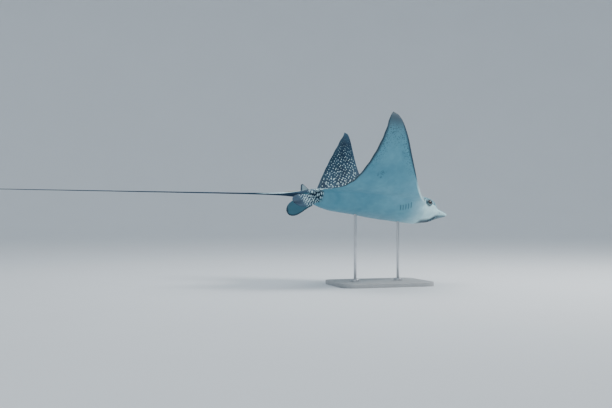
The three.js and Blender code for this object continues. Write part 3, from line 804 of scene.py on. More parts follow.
# ---------------------------------------------------------------- fins
def make_fin(name, place_on, thickness, rings, chords, length, half_width, flat_place, box):
    """A blade with rings outward and points across its chord, closed at both ends. place_on gives a
    point from the shares of its length and chord and its distance off the blade's middle plane."""
    fin = Sheets()
    w = crowded(np.linspace(0, 1, rings + 1)[:, None], 0.6)
    t = (1 - np.cos(math.pi * np.linspace(0, 1, chords + 1)))[None] / 2
    half = thickness(w) / 2 * np.sqrt(np.sin(math.pi * np.clip(t, 0, 1)).clip(0))
    w_grid, t_grid = np.broadcast_arrays(w, t)
    upper = place_on(w_grid, t_grid, half)
    lower = place_on(w_grid, t_grid, -half)
    lower[:, [0, -1]] = upper[:, [0, -1]]
    upper_ids = fin.add_points(to_part(upper))
    lower_ids = fin.add_points(to_part(lower))
    lower_ids[:, [0, -1]] = upper_ids[:, [0, -1]]
    width = 2 * half_width(w_grid)
    lead = t_grid * width
    trail = np.minimum((1 - t_grid) * width, (1 - w_grid) * length)
    flat = pair(flat_place[0] - length * w_grid, flat_place[1] + width * (t_grid - 0.5))
    maps = (flat, pair(lead, trail))
    left, bottom, wide, high = box
    upper_box = (left, bottom, wide, high * 0.49)
    lower_box = (left, bottom + high * 0.51, wide, high * 0.49)
    fin.add_sheet(upper_ids, *maps, back_side, fitted(upper_box, t_grid, w_grid))
    fin.add_sheet(lower_ids, *maps, belly_side, fitted(lower_box, t_grid, w_grid), columns_back)
    for row, inward, order in ((0, 0.004, columns_back), (-1, -0.004, slice(None))):
        end_ids = np.stack([upper_ids[row], lower_ids[row]])
        unrolled = fitted(upper_box, t_grid[:1], w_grid[row, 0] + np.array([[0.0], [inward]]))
        fin.add_sheet(end_ids, *(m[[row]] for m in maps), ((back_side,), (belly_side,)), unrolled, order)
    piece = fin.make(name)
    face_outward(piece)
    return piece


pelvic_length, pelvic_thickness = 0.162, 0.011
pelvic_root = (-0.836, 0.038, -0.014)
pelvic_root_half_width, pelvic_spread, pelvic_outset = 0.030, 0.024, 0.024
pelvic_pose = {1: (6, 25, 46), -1: (10, 17, 52)}       # splay, droop and roll in degrees


def pelvic_half_width(w):
    half_width = pelvic_root_half_width + pelvic_spread * soft_step(w, 0, 0.65)
    return half_width * np.sqrt(np.maximum(1 - np.maximum((w - 0.6) / 0.4, 0) ** 2.4, 0.0016))


def pelvic_fin(side):
    splay, droop, roll = (math.radians(v) for v in pelvic_pose[side])
    turn = (Matrix.Rotation(-side * splay, 3, "Z") @ Matrix.Rotation(-droop, 3, "Y")
            @ Matrix.Rotation(-side * roll, 3, "X"))
    root = np.array([pelvic_root[0], side * pelvic_root[1], pelvic_root[2]])

    def place_on(w, t, n):
        ripple = 0.0011 * soft_step(w, 0.45, 1) * np.sin(2 * math.pi * t * 2.6 + side)
        outward = pelvic_half_width(w) * (2 * t - 1) + pelvic_outset
        flat = np.stack([-pelvic_length * w, side * outward, n + ripple], -1)
        return flat @ np.array(turn).T + root

    return make_fin(
        "pelvic_fin", place_on, lambda w: pelvic_thickness * (1 - 0.8 * w) + edge_thickness,
        44, 36, pelvic_length, pelvic_half_width, (-0.85, side * 0.35), map_fin[side],
    )


dorsal_front, dorsal_base, dorsal_height = -0.028, 0.084, 0.063
dorsal_sweep, dorsal_tip, dorsal_thickness, dorsal_rooted = 0.062, 0.018, 0.007, 0.012
dorsal_map_half_width = 0.028


def dorsal_fin():
    def place_on(w, t, n):
        lean = w ** 0.8
        front = dorsal_front + dorsal_sweep * lean
        length = dorsal_base + (dorsal_tip - dorsal_base) * lean
        rounding = 1 - 0.12 * (2 * t - 1) ** 2 * w
        up = dorsal_rooted + (dorsal_height - dorsal_rooted) * w * rounding
        return on_tail(front + length * t, n, up)

    return make_fin(
        "dorsal_fin_skin", place_on, lambda w: dorsal_thickness * (1 - 0.65 * w), 30, 24,
        dorsal_height, lambda w: dorsal_map_half_width * (1 - 0.75 * w), (-0.87, 0.70), map_fin[0],
    )


fins = [pelvic_fin(1), pelvic_fin(-1), dorsal_fin()]
for fin in fins:
    fin_recess_shade = fin.data.attributes.new("recess_shade", "FLOAT", "POINT")
    fin_recess_shade.data.foreach_set("value", np.zeros(len(fin.data.vertices), np.float32))

# Each fin is joined to the body as one skin, and the line where they meet is smoothed away.
def tree_of(points):
    """A search tree over points, to find the nearest."""
    tree = KDTree(len(points))
    for k, point in enumerate(points):
        tree.insert(point, k)
    tree.balance()
    return tree


known = tree_of([vertex.co.copy() for piece in (ray_skin, *fins) for vertex in piece.data.vertices])
face_outward(ray_skin)
select_only(ray_skin)
for fin in fins:
    bpy.ops.object.modifier_add(type="BOOLEAN")
    joining = ray_skin.modifiers[-1]
    joining.operation = "UNION"
    joining.solver = "EXACT"
    joining.object = fin
    bpy.ops.object.modifier_apply(modifier=joining.name)
for fin in fins:
    bpy.data.objects.remove(fin)

same_place, seam_merge = 2e-6, 0.0002
seam_reach, seam_rounds = 0.006, 8
work = bmesh.new()
work.from_mesh(ray_skin.data)
seam = [v for v in work.verts if known.find(v.co)[2] > same_place]
beside_seam = tree_of([v.co.copy() for v in seam])
near_seam = [v for v in work.verts if beside_seam.find(v.co)[2] < seam_reach]
for _ in range(seam_rounds):
    bmesh.ops.smooth_vert(
        work, verts=near_seam, factor=0.5, use_axis_x=True, use_axis_y=True, use_axis_z=True
    )
bmesh.ops.remove_doubles(work, verts=seam, dist=seam_merge)
work.to_mesh(ray_skin.data)
work.free()


# ---------------------------------------------------------------- tools for the harder pieces
def settle(piece, smooth_angle=None):
    """Puts a piece's place, turn and size into its mesh and shades it."""
    select_only(piece)
    bpy.ops.object.transform_apply(location=True, rotation=True, scale=True)
    if smooth_angle is None:
        bpy.ops.object.shade_smooth()
    else:
        bpy.ops.object.shade_smooth_by_angle(angle=math.radians(smooth_angle))


def choose(piece, wanted, kind="EDGE"):
    """Selects in edit mode the edges, faces or corners for which wanted is true."""
    bpy.ops.object.mode_set(mode="EDIT")
    bpy.ops.mesh.select_mode(type=kind)
    bpy.ops.mesh.select_all(action="DESELECT")
    bpy.ops.object.mode_set(mode="OBJECT")
    parts = {"EDGE": piece.data.edges, "FACE": piece.data.polygons, "VERT": piece.data.vertices}[kind]
    for part in parts:
        part.select = wanted(part)
    bpy.ops.object.mode_set(mode="EDIT")


# ---------------------------------------------------------------- eyes
pupil_bulge, bulge_reach = 0.0010, 0.009


def make_eye(side):
    middle = to_part([eye_x, side * eye_y, eye_z])
    outward = body_turn @ Vector((eye_outward, side, eye_tilt)).normalized()
    bpy.ops.mesh.primitive_uv_sphere_add(
        segments=56, ring_count=36, radius=eye_radius, location=middle,
        rotation=outward.to_track_quat("Z", "Y").to_euler(),
    )
    ball = bpy.context.object
    ball.name = "eyeball_left" if side > 0 else "eyeball_right"
    choose(ball, lambda v: v.co.z > 0.93 * eye_radius, "VERT")
    bpy.ops.transform.translate(
        value=outward * pupil_bulge, use_proportional_edit=True,
        proportional_edit_falloff="SMOOTH", proportional_size=bulge_reach,
    )
    bpy.ops.object.mode_set(mode="OBJECT")
    settle(ball)
    return ball


eyes = {side: make_eye(side) for side in (1, -1)}

# ---------------------------------------------------------------- tail spines
spine_start, spine_length, spine_apart = 0.058, 0.096, 0.0046
spine_width, spine_thickness, spine_rise = 0.0075, 0.0040, 0.004
spine_sides = 10
barb_count = 16


def make_spine(side, length_share):
    length = spine_length * length_share
    root_up = float(tail_half_height(spine_start)) - 0.001
    tip_up = float(tail_half_height(spine_start + length)) + spine_rise
    root = Vector(to_part(on_tail(spine_start, side * spine_apart, root_up)))
    tip = Vector(to_part(on_tail(spine_start + length, 0.7 * side * spine_apart, tip_up)))
    bpy.ops.mesh.primitive_circle_add(vertices=spine_sides, radius=spine_width / 2, fill_type="NGON")
    spine = bpy.context.object
    spine.name = "sting_left" if side > 0 else "sting_right"
    bpy.ops.object.mode_set(mode="EDIT")
    bpy.ops.mesh.select_all(action="SELECT")
    bpy.ops.transform.resize(value=(1, spine_thickness / spine_width, 1))
    width = 1.0
    barb_step = length * 0.94 / barb_count
    for k in range(barb_count):
        share = (k + 1) / barb_count
        taper = (1 - share ** 1.9) ** 0.8 * 0.86 + 0.14
        # Towards the tip each barb narrows slowly and the next one stands out at once, so they point back
        # to the root.
        for advance, size in ((0.82 * barb_step, 0.80 * taper), (0.18 * barb_step, taper)):
            bpy.ops.mesh.extrude_region_move(TRANSFORM_OT_translate={"value": (0, 0, advance)})
            ratio = size / width
            flat_ratio = 1 + (ratio - 1) * 0.45
            bpy.ops.transform.resize(value=(ratio, flat_ratio, 1))
            width = size
    bpy.ops.mesh.extrude_region_move(TRANSFORM_OT_translate={"value": (0, 0, length * 0.06)})
    bpy.ops.transform.resize(value=(0.15, 0.15, 1))
    bpy.ops.object.mode_set(mode="OBJECT")
    direction = (tip - root).normalized()
    up = body_turn @ Vector((0, 0, 1))
    sideways = up.cross(direction).normalized()
    facing = Matrix((sideways, direction.cross(sideways), direction)).transposed()
    spine.matrix_world = Matrix.Translation(root) @ facing.to_4x4()
    settle(spine, 40)
    return spine


spines = {1: make_spine(1, 1.0), -1: make_spine(-1, 0.8)}

# ---------------------------------------------------------------- stand
base_low, base_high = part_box("stand_base")
base_size = base_high - base_low
base_corner, base_edge = 0.060, 0.003
bpy.ops.mesh.primitive_cube_add(size=1, location=(base_low + base_high) / 2, scale=base_size)
base = bpy.context.object
base.name = "base_plate"
bpy.ops.object.transform_apply(location=True, rotation=True, scale=True)


def runs_up(edge):
    a, b = (base.data.vertices[i].co for i in edge.vertices)
    return abs(a.z - b.z) > 0.9 * base_size.z


choose(base, runs_up)
bpy.ops.mesh.bevel(offset=base_corner, segments=16, profile=0.5)
bpy.ops.object.mode_set(mode="OBJECT")


def flat_top_or_bottom(face):
    return abs(face.normal.z) > 0.9


choose(base, flat_top_or_bottom, "FACE")
bpy.ops.mesh.bevel(offset=base_edge, segments=4, profile=0.5)
bpy.ops.object.mode_set(mode="OBJECT")
settle(base, 35)


def make_upright(name, low, high, sides):
    """A plain upright cylinder that fills a box."""
    bpy.ops.mesh.primitive_cylinder_add(
        vertices=sides, radius=(high.x - low.x) / 2, depth=high.z - low.z, location=(low + high) / 2
    )
    piece = bpy.context.object
    piece.name = name
    bpy.ops.object.transform_apply(location=True, rotation=True, scale=True)
    return piece


rod_edge = 0.0008


def make_rod(end):
    rod = make_upright("rod_" + end, *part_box("stand_rod_" + end), 48)
    choose(rod, flat_top_or_bottom, "FACE")
    bpy.ops.mesh.bevel(offset=rod_edge, segments=3, profile=0.5)
    bpy.ops.object.mode_set(mode="OBJECT")
    settle(rod, 35)
    return rod


collar_edge, collar_ledge, collar_sunk, collar_lip = 0.0040, 0.0090, 0.0015, 0.0006
screw_lip, screw_depth = 0.0006, 0.0012


def make_collar(end):
    """A turned foot for a rod, with a stepped top and a grub screw's hole in its side."""
    low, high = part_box("stand_collar_" + end)
    middle = (low + high) / 2
    collar = make_upright("collar_" + end, low, high, 64)
    choose(collar, lambda face: face.normal.z > 0.9, "FACE")
    bpy.ops.mesh.bevel(offset=collar_edge, segments=5, profile=0.5)
    bpy.ops.object.mode_set(mode="OBJECT")
    choose(collar, lambda face: face.normal.z > 0.99, "FACE")
    bpy.ops.mesh.inset(thickness=collar_ledge)
    bpy.ops.mesh.extrude_region_move(TRANSFORM_OT_translate={"value": (0, 0, -collar_sunk)})
    bpy.ops.mesh.inset(thickness=collar_lip)
    bpy.ops.object.mode_set(mode="OBJECT")

    def screw_face(face):
        out = face.center - Vector((middle.x, middle.y, face.center.z))
        return abs(face.normal.z) < 0.1 and out.normalized().y < -0.998

    choose(collar, screw_face, "FACE")
    bpy.ops.mesh.inset(thickness=screw_lip)
    bpy.ops.mesh.extrude_region_move(TRANSFORM_OT_translate={"value": (0, screw_depth, 0)})
    bpy.ops.object.mode_set(mode="OBJECT")
    settle(collar, 35)
    return collar


ends = ("front", "rear")
rods = {end: make_rod(end) for end in ends}
collars = {end: make_collar(end) for end in ends}

# ---------------------------------------------------------------- floor: a wide plain bowl
floor_radius, floor_steps, bowl_radius, bowl_turn, wall_height = 9.0, 12, 5.0, math.radians(80), 7.0
bpy.ops.mesh.primitive_circle_add(vertices=96, radius=floor_radius, fill_type="NGON", location=(0, 0, 0))
floor = bpy.context.object
floor.name = "studio_floor"
choose(floor, lambda edge: True)
bpy.ops.mesh.region_to_loop()
last_radius, last_height = floor_radius, 0.0
for k in range(1, floor_steps + 1):
    turn = bowl_turn * k / floor_steps
    radius = floor_radius + bowl_radius * math.sin(turn)
    height = bowl_radius * (1 - math.cos(turn))
    bpy.ops.mesh.extrude_edges_move(TRANSFORM_OT_translate={"value": (0, 0, height - last_height)})
    wider = radius / last_radius
    bpy.ops.transform.resize(value=(wider, wider, 1), center_override=(0, 0, height))
    last_radius, last_height = radius, height
bpy.ops.mesh.extrude_edges_move(TRANSFORM_OT_translate={"value": (0, 0, wall_height)})
bpy.ops.object.mode_set(mode="OBJECT")
settle(floor)


# ---------------------------------------------------------------- materials
class Wiring:
    """Short names for the nodes of one material or group."""

    def __init__(self, tree):
        self.tree = tree

    def node(self, kind, **settings):
        made = self.tree.nodes.new(kind)
        for key, value in settings.items():
            setattr(made, key, value)
        return made

    def put(self, socket, value):
        """Links a socket to another, or sets its value."""
        if isinstance(value, bpy.types.NodeSocket):
            self.tree.links.new(value, socket)
        elif isinstance(value, tuple) and len(value) == 3 and socket.type == "RGBA":
            socket.default_value = (*value, 1)
        else:
            socket.default_value = value

    def fill(self, node, **values):
        """Puts values on a node's inputs, named with _ for each space."""
        for name, value in values.items():
            self.put(node.inputs[name.replace("_", " ")], value)
        return node

    def first(self, node, *values):
        """Puts values on a node's inputs in their order, and gives its first output."""
        for socket, value in zip(node.inputs, values):
            self.put(socket, value)
        return node.outputs[0]

    def math(self, operation, a, b=0.0, c=0.0):
        return self.first(self.node("ShaderNodeMath", operation=operation), a, b, c)

    def times(self, *values):
        result = values[0]
        for value in values[1:]:
            result = self.math("MULTIPLY", result, value)
        return result

    def most(self, *values):
        result = values[0]
        for value in values[1:]:
            result = self.math("MAXIMUM", result, value)
        return result

    def inverse(self, a):
        return self.math("SUBTRACT", 1.0, a)

    def swayed(self, value, wave, amount):
        """A value moved up and down by a noise, by up to half of amount."""
        return self.math("MULTIPLY_ADD", self.math("SUBTRACT", wave, 0.5), amount, value)

    def step(self, value, low, high, to_low=0.0, to_high=1.0):
        """A smooth step of value from low to high, which falls where low is the larger."""
        made = self.node("ShaderNodeMapRange", interpolation_type="SMOOTHSTEP")
        return self.first(made, value, low, high, to_low, to_high)

    def mix(self, share, a, b):
        made = self.node("ShaderNodeMix", data_type="RGBA")
        for number, value in ((0, share), (6, a), (7, b)):
            self.put(made.inputs[number], value)
        return made.outputs[2]

    def parts(self, vector):
        made = self.node("ShaderNodeSeparateXYZ")
        self.first(made, vector)
        return tuple(made.outputs)

    def length(self, vector):
        made = self.node("ShaderNodeVectorMath", operation="LENGTH")
        self.first(made, vector)
        return made.outputs["Value"]

    def map_of(self, name):
        return self.node("ShaderNodeUVMap", uv_map=name).outputs[0]

    def turned(self, vector, turn=0.0, stretch=(1, 1, 1), shift=(0, 0, 0)):
        rotation = (0, 0, math.radians(turn))
        made = self.fill(self.node("ShaderNodeMapping"), Vector=vector, Rotation=rotation, Scale=stretch,
                         Location=shift)
        return made.outputs[0]

    def noise(self, vector, scale, detail=3.0):
        made = self.fill(self.node("ShaderNodeTexNoise"), Vector=vector, Scale=scale, Detail=detail,
                         Roughness=0.55)
        return made.outputs[0]

    def cells(self, vector, scale, randomness):
        """Distance from the middle of each cell, in cells, and a random colour a cell."""
        made = self.fill(self.node("ShaderNodeTexVoronoi", voronoi_dimensions="2D"), Vector=vector,
                         Scale=scale, Randomness=randomness)
        return made.outputs["Distance"], made.outputs["Color"]

    def object_place(self):
        return self.node("ShaderNodeTexCoord").outputs["Object"]


def new_material(name):
    material = bpy.data.materials.new(name)
    material.use_nodes = True
    material.node_tree.nodes.clear()
    wiring = Wiring(material.node_tree)
    shader = wiring.node("ShaderNodeBsdfPrincipled")
    wiring.fill(wiring.node("ShaderNodeOutputMaterial"), Surface=shader.outputs[0])
    return material, wiring, shader


VECTOR, NUMBER, COLOUR = "NodeSocketVector", "NodeSocketFloat", "NodeSocketColor"


def new_group(name, inputs, outputs):
    tree = bpy.data.node_groups.new(name, "ShaderNodeTree")
    for socket_name, kind, value in inputs:
        socket = tree.interface.new_socket(name=socket_name, in_out="INPUT", socket_type=kind)
        if value is not None:
            socket.default_value = value
    for socket_name, kind in outputs:
        tree.interface.new_socket(name=socket_name, in_out="OUTPUT", socket_type=kind)
    wiring = Wiring(tree)
    return tree, wiring, wiring.node("NodeGroupInput").outputs, wiring.node("NodeGroupOutput")


# Fine grain: small changes of tint and shine that every finish has.
fine_grain, g, given, result = new_group(
    "fine_grain",
    [("Place", VECTOR, None), ("Colour", COLOUR, (0.5, 0.5, 0.5, 1)), ("Tint", COLOUR, (0.3, 0.3, 0.3, 1)),
     ("Grain Scale", NUMBER, 400.0), ("Tint Share", NUMBER, 0.2), ("Roughness", NUMBER, 0.4),
     ("Roughness Spread", NUMBER, 0.1)],
    [("Colour", COLOUR), ("Roughness", NUMBER), ("Height", NUMBER)],
)
coarse_scale = g.math("MULTIPLY", given["Grain Scale"], 0.06)
coarse_noise, fine_noise = (
    g.fill(g.node("ShaderNodeTexNoise"), Vector=given["Place"], Scale=scale, Detail=detail).outputs[0]
    for scale, detail in ((coarse_scale, 4), (given["Grain Scale"], 2))
)
patches = g.step(coarse_noise, 0.35, 0.65)
spread = g.times(g.math("SUBTRACT", coarse_noise, 0.5), given["Roughness Spread"], 2.0)
g.fill(
    result, Colour=g.mix(g.times(patches, given["Tint Share"]), given["Colour"], given["Tint"]),
    Roughness=g.math("ADD", given["Roughness"], spread), Height=fine_noise,
)


def grained(wiring, shader, place, **look):
    """Gives a shader a finish with fine grain, and returns the height of the grain."""
    made = wiring.fill(wiring.node("ShaderNodeGroup", node_tree=fine_grain), Place=place, **look)
    wiring.fill(shader, Base_Color=made.outputs["Colour"], Roughness=made.outputs["Roughness"])
    return made.outputs["Height"]


def bumped(wiring, shader, height, strength, distance):
    made = wiring.node("ShaderNodeBump")
    wiring.fill(made, Strength=strength, Distance=distance, Height=height)
    wiring.fill(shader, Normal=made.outputs[0])


# ---------------------------------------------------------------- the ray's skin
slate = (0.008, 0.028, 0.058)
slate_lit = (0.022, 0.064, 0.108)
# Greys for the top of the head and the bill, painted as lit from above.
lit_brow_grey = (0.150, 0.330, 0.400)
lit_bill_grey = (0.240, 0.430, 0.490)
spot_white = (0.54, 0.75, 0.80)
# The belly's colours are its pale skin painted darker, as the underside in shade; the white is the skin
# painted as lit, on the cheek and as the highlight on the wings' front edges.
shaded_belly_pale = (0.160, 0.390, 0.490)
belly_shade = (0.090, 0.275, 0.370)
lit_white = (0.600, 0.860, 0.900)
margin_dark = (0.014, 0.038, 0.065)
fin_under = (0.055, 0.160, 0.215)
hollow_shade_colour = (0.010, 0.018, 0.026)

# Where on the animal a place is: its length and width on the flat animal, how far it is from the
# edges of its fin, and which part it belongs to.
skin_material, s, skin_shader = new_material("ray_skin")
flat = s.map_of("flat")
flat_x, flat_y, _ = s.parts(flat)
to_lead, to_trail, _ = s.parts(s.map_of("edges"))
belly, facing_down, _ = s.parts(s.map_of("under"))
hollow_shade = s.node("ShaderNodeAttribute", attribute_name="recess_shade", attribute_type="GEOMETRY").outputs["Fac"]
span = s.math("ABSOLUTE", flat_y)
wander = s.noise(flat, 14.0)
wander_fine = s.noise(flat, 60.0)
on_head = s.step(flat_x, neck_x - 0.045, neck_x + 0.015)
on_tail = s.times(s.step(flat_x, vent_x - 0.004, vent_x - 0.03), s.math("LESS_THAN", span, 0.15))
fins_from, pelvic_from, dorsal_from = -0.80, 0.22, 0.55      # their places beside the flat animal
behind_disc = s.math("LESS_THAN", flat_x, fins_from)
on_pelvic = s.times(behind_disc, s.math("GREATER_THAN", span, pelvic_from),
                    s.math("LESS_THAN", span, dorsal_from))
on_dorsal = s.times(behind_disc, s.math("GREATER_THAN", span, dorsal_from))
on_disc = s.times(s.inverse(on_head), s.inverse(on_pelvic), s.inverse(on_dorsal), s.inverse(on_tail))


def spots(scale, randomness, radius, turn):
    """Round spots of about this radius, in cells, a little uneven in size and outline."""
    away, random_colour = s.cells(s.turned(flat, turn), scale, randomness)
    size = s.times(s.math("MULTIPLY_ADD", s.parts(random_colour)[0], 0.55, 0.72), radius)
    edge = s.math("SUBTRACT", s.swayed(away, wander_fine, 0.14), size)
    return s.step(edge, -0.035, 0.045, 1.0, 0.0)


# Spots on the back crowd and shrink towards the tips and leave the margins plain.
inner_spots = spots(43.0, 0.54, s.step(span, 0.10, 0.42, 0.230, 0.185), 38)
outer_spots = spots(60.0, 0.60, s.step(span, 0.40, 0.70, 0.195, 0.105), 24)
further_out = s.step(s.swayed(span, wander, 0.12), 0.385, 0.415)
back_spots = s.math("ADD", s.times(inner_spots, s.inverse(further_out)), s.times(outer_spots, further_out))
plain_tip = s.step(span, 0.62, 0.73, 1.0, 0.0)
clear_of_margin = s.times(s.step(to_trail, 0.006, 0.020), s.step(to_lead, 0.004, 0.012))
back_spots = s.times(back_spots, plain_tip, clear_of_margin, on_disc)
head_spots = s.times(spots(74.0, 0.75, 0.25, 20), on_head, s.step(flat_x, -0.085, -0.10), 0.8)

# Spots on the pelvic fins and in the corner between each fin and its wing.
axil_x, axil_span = -0.846, 0.072
axil_off = s.node("ShaderNodeCombineXYZ")
s.first(axil_off, s.math("SUBTRACT", flat_x, axil_x), s.times(s.math("SUBTRACT", span, axil_span), 0.9))
axil = s.step(s.swayed(s.length(axil_off.outputs[0]), wander_fine, 0.05), 0.054, 0.026)
axil = s.times(axil, s.math("LESS_THAN", span, pelvic_from))
fin_zone = s.most(s.times(on_pelvic, s.step(flat_x, -0.965, -0.930)), axil)
pelvic_spots = s.times(spots(82.0, 0.45, 0.31, 45), fin_zone)

# A pale band along each side of the top of the tail's root, a painted highlight where the light falls on it,
# and a pale patch on the dorsal fin.
tail_highlight_band = s.times(s.step(span, 0.0035, 0.0060), s.step(span, 0.0150, 0.0115))
tail_top_highlight = s.times(on_tail, tail_highlight_band, s.step(flat_x, -1.19, -1.12))
dorsal_patch = s.times(on_dorsal, s.step(to_lead, 0.003, 0.008), s.step(to_trail, 0.003, 0.008), 0.42)

# The back: slate; over the eyes and on the bill its mottled skin is painted paler grey, as lit from above.
mottle = s.step(wander_fine, 0.38, 0.62)
slate_mixed = s.mix(s.step(wander, 0.35, 0.65), slate, slate_lit)
lit_brow_colour = s.mix(s.math("MULTIPLY_ADD", mottle, 0.55, 0.45), slate_lit, lit_brow_grey)
slate_mixed = s.mix(on_head, slate_mixed, lit_brow_colour)
slate_mixed = s.mix(s.step(flat_x, -0.110, -0.080), slate_mixed, s.mix(mottle, lit_brow_grey, lit_bill_grey))
# The pale marks include the painted highlight along the tail's top.
pale_marks = s.most(back_spots, head_spots, pelvic_spots, tail_top_highlight, dorsal_patch)
pale_marks = s.times(pale_marks, s.step(wander, 0.25, 0.5, 0.78, 1.0))
back_colour = s.mix(pale_marks, slate_mixed, spot_white)

# The belly: its pale skin painted a darker teal as the underside in shade, with more painted shade to the
# rear, random patches, and painted light on the cheek, where it is palest.
rearward_shade = s.times(s.step(flat_x, -0.22, -0.62), 0.55)
belly_patches = s.step(s.noise(flat, 6.0, 4.0), 0.36, 0.66, 0.0, 0.45)
belly_colour = s.mix(s.math("ADD", belly_patches, rearward_shade), shaded_belly_pale, belly_shade)
lit_cheek_share = s.times(s.step(flat_x, -0.31, -0.13), s.step(wander, 0.25, 0.55, 0.75, 1.0))
belly_colour = s.mix(lit_cheek_share, belly_colour, lit_white)

# Freckles along the margins under the wings, and all over under the tips.
freckle_away, freckle_random = s.cells(flat, 100.0, 0.9)
freckle_size, freckle_keep, _ = s.parts(freckle_random)
freckle_reach = s.math("MULTIPLY_ADD", freckle_size, 0.18, 0.22)
freckle_edge = s.math("SUBTRACT", s.swayed(freckle_away, wander_fine, 0.5), freckle_reach)
freckles = s.times(s.step(freckle_edge, 0.06, -0.10), s.step(freckle_keep, 0.18, 0.26))
near_margin = s.most(s.step(to_lead, 0.085, 0.010), s.step(to_trail, 0.090, 0.010))
freckle_zone = s.times(s.step(span, 0.34, 0.58), s.most(near_margin, s.step(span, 0.50, 0.66)))
freckles = s.times(freckles, freckle_zone, on_disc)

# Dark rims that widen outward, and dusky tips.
trail_rim = s.times(s.step(to_trail, s.step(span, 0.18, 0.60, 0.011, 0.028), 0.004), s.step(span, 0.13, 0.24))
lead_rim = s.times(s.step(to_lead, s.step(span, 0.30, 0.60, 0.006, 0.028), 0.004), s.step(span, 0.33, 0.44))
tip_dusk = s.math("ADD", s.times(s.step(span, 0.50, 0.70), 0.42), s.times(s.step(span, 0.64, 0.72), 0.50))
rims = s.times(s.most(trail_rim, lead_rim, tip_dusk), on_disc)

# Smudges under the right wing, each with its place on the flat animal and its reach, broken by streaks.
smudge_places = (
    (-0.604, -0.390, 0.017), (-0.572, -0.402, 0.019), (-0.580, -0.376, 0.011),
    (-0.478, -0.527, 0.015), (-0.462, -0.520, 0.010),
)
smudges = 0.0
for smudge_x, smudge_y, reach in smudge_places:
    smudge_away = s.length(s.turned(flat, shift=(-smudge_x, -smudge_y, 0)))
    smudges = s.most(smudges, s.step(s.swayed(smudge_away, wander_fine, 0.05), reach, 0.3 * reach))
smudge_streaks = s.step(s.noise(s.turned(flat, 60, (1.0, 3.0, 1.0)), 70.0), 0.40, 0.58)
smudges = s.times(smudges, smudge_streaks, 0.50)
under_dark = s.most(rims, s.times(freckles, 0.82), s.times(smudges, on_disc))
belly_colour = s.mix(under_dark, belly_colour, margin_dark)

# The underside of the bill and jaw, where it faces down, is painted dark: painted shade, partly a dusky tint
# of the skin. Fine streaks run up the cheek beside the bill.
jaw_shade_and_dusk = s.times(s.step(flat_x, -0.215, -0.170), facing_down, s.step(flat_x, -0.10, -0.03, 0.96, 0.80))
belly_colour = s.mix(jaw_shade_and_dusk, belly_colour, margin_dark)
streak = s.noise(s.turned(flat, 12, (0.30, 1.0, 1.0)), 150.0, 2.0)
cheek_streaks = s.times(s.step(streak, 0.52, 0.60), s.step(flat_x, -0.125, -0.095), 0.55)
belly_colour = s.mix(cheek_streaks, belly_colour, lit_brow_grey)

# The undersides of the fins and the tail.
pelvic_under = s.mix(s.step(to_trail, 0.016, 0.004), fin_under, margin_dark)
belly_colour = s.mix(on_pelvic, belly_colour, pelvic_under)
belly_colour = s.mix(axil, belly_colour, s.mix(pelvic_spots, slate, spot_white))
tail_under = s.mix(s.step(flat_x, -0.875, -0.930), belly_shade, slate)
belly_colour = s.mix(on_tail, belly_colour, tail_under)
belly_colour = s.mix(on_dorsal, belly_colour, slate)
belly_colour = s.mix(s.times(on_dorsal, dorsal_patch), belly_colour, spot_white)

# The front of each wing beside the head is painted pale right over its edge, a painted highlight where the
# light falls on it, and the hollows get painted shade.
belly_share = s.step(s.swayed(belly, wander_fine, 0.35), 0.38, 0.62)
skin_colour = s.mix(belly_share, back_colour, belly_colour)
edge_highlight = s.times(s.step(to_lead, 0.014, 0.006), s.step(span, 0.40, 0.30), s.step(span, 0.112, 0.120))
skin_colour = s.mix(s.times(edge_highlight, on_disc), skin_colour, lit_white)
# Painted shade darkens the recesses: the eyes' lids and sockets, the spiracles, mouth, nostrils and gill
# slits.
skin_colour = s.mix(s.times(hollow_shade, 0.92), skin_colour, hollow_shade_colour)
skin_grain = grained(
    s, skin_shader, s.object_place(), Colour=skin_colour, Tint=slate_lit, Grain_Scale=520.0, Tint_Share=0.10,
    Roughness=0.54, Roughness_Spread=0.10,
)
s.fill(
    skin_shader, Specular_IOR_Level=0.18, Coat_Weight=0.02, Coat_Roughness=0.25, Subsurface_Weight=0.06,
    Subsurface_Radius=(0.010, 0.006, 0.004), Subsurface_Scale=1.0,
)

# Faint rays of cartilage fan out through each wing, under fine folds.
ray_slant, ray_apart = 0.42, 0.0105
ray_lines = s.math("SINE", s.times(s.math("MULTIPLY_ADD", span, ray_slant, flat_x), 2 * math.pi / ray_apart))
ray_height = s.times(ray_lines, s.step(span, 0.20, 0.34), s.step(to_lead, 0.03, 0.09), on_disc, 0.035)
folds = s.times(s.noise(s.turned(flat, stretch=(1.0, 0.35, 1.0)), 46.0, 4.0), 0.5)
skin_height = s.math("ADD", s.math("ADD", s.times(skin_grain, 0.16), ray_height), folds)
bumped(s, skin_shader, skin_height, 0.35, 0.0016)

# ---------------------------------------------------------------- eyes, stings and stand
# Each eyeball has its pole in the middle of a round pupil, with the iris and then the dark ball round it.
pupil_edge, iris_edge = 0.872, 0.800
eye_material, e, eye_shader = new_material("glossy_eye")
eye_map = e.map_of("UVMap")
_, pole_share, _ = e.parts(eye_map)
threads = e.noise(e.turned(eye_map, 0, (22, 3, 1)), 6.0)
iris = e.mix(threads, (0.008, 0.010, 0.011), (0.034, 0.032, 0.026))
white_of_eye = e.mix(threads, (0.010, 0.014, 0.018), (0.024, 0.030, 0.036))
ring_colour = e.mix(e.step(pole_share, iris_edge, iris_edge + 0.015), white_of_eye, iris)
eye_colour = e.mix(e.step(pole_share, pupil_edge, pupil_edge + 0.012), ring_colour, (0.003, 0.003, 0.004))
e.fill(eye_shader, Base_Color=eye_colour, Roughness=e.step(threads, 0.3, 0.7, 0.10, 0.18), Coat_Weight=0.45,
       Coat_Roughness=0.03)

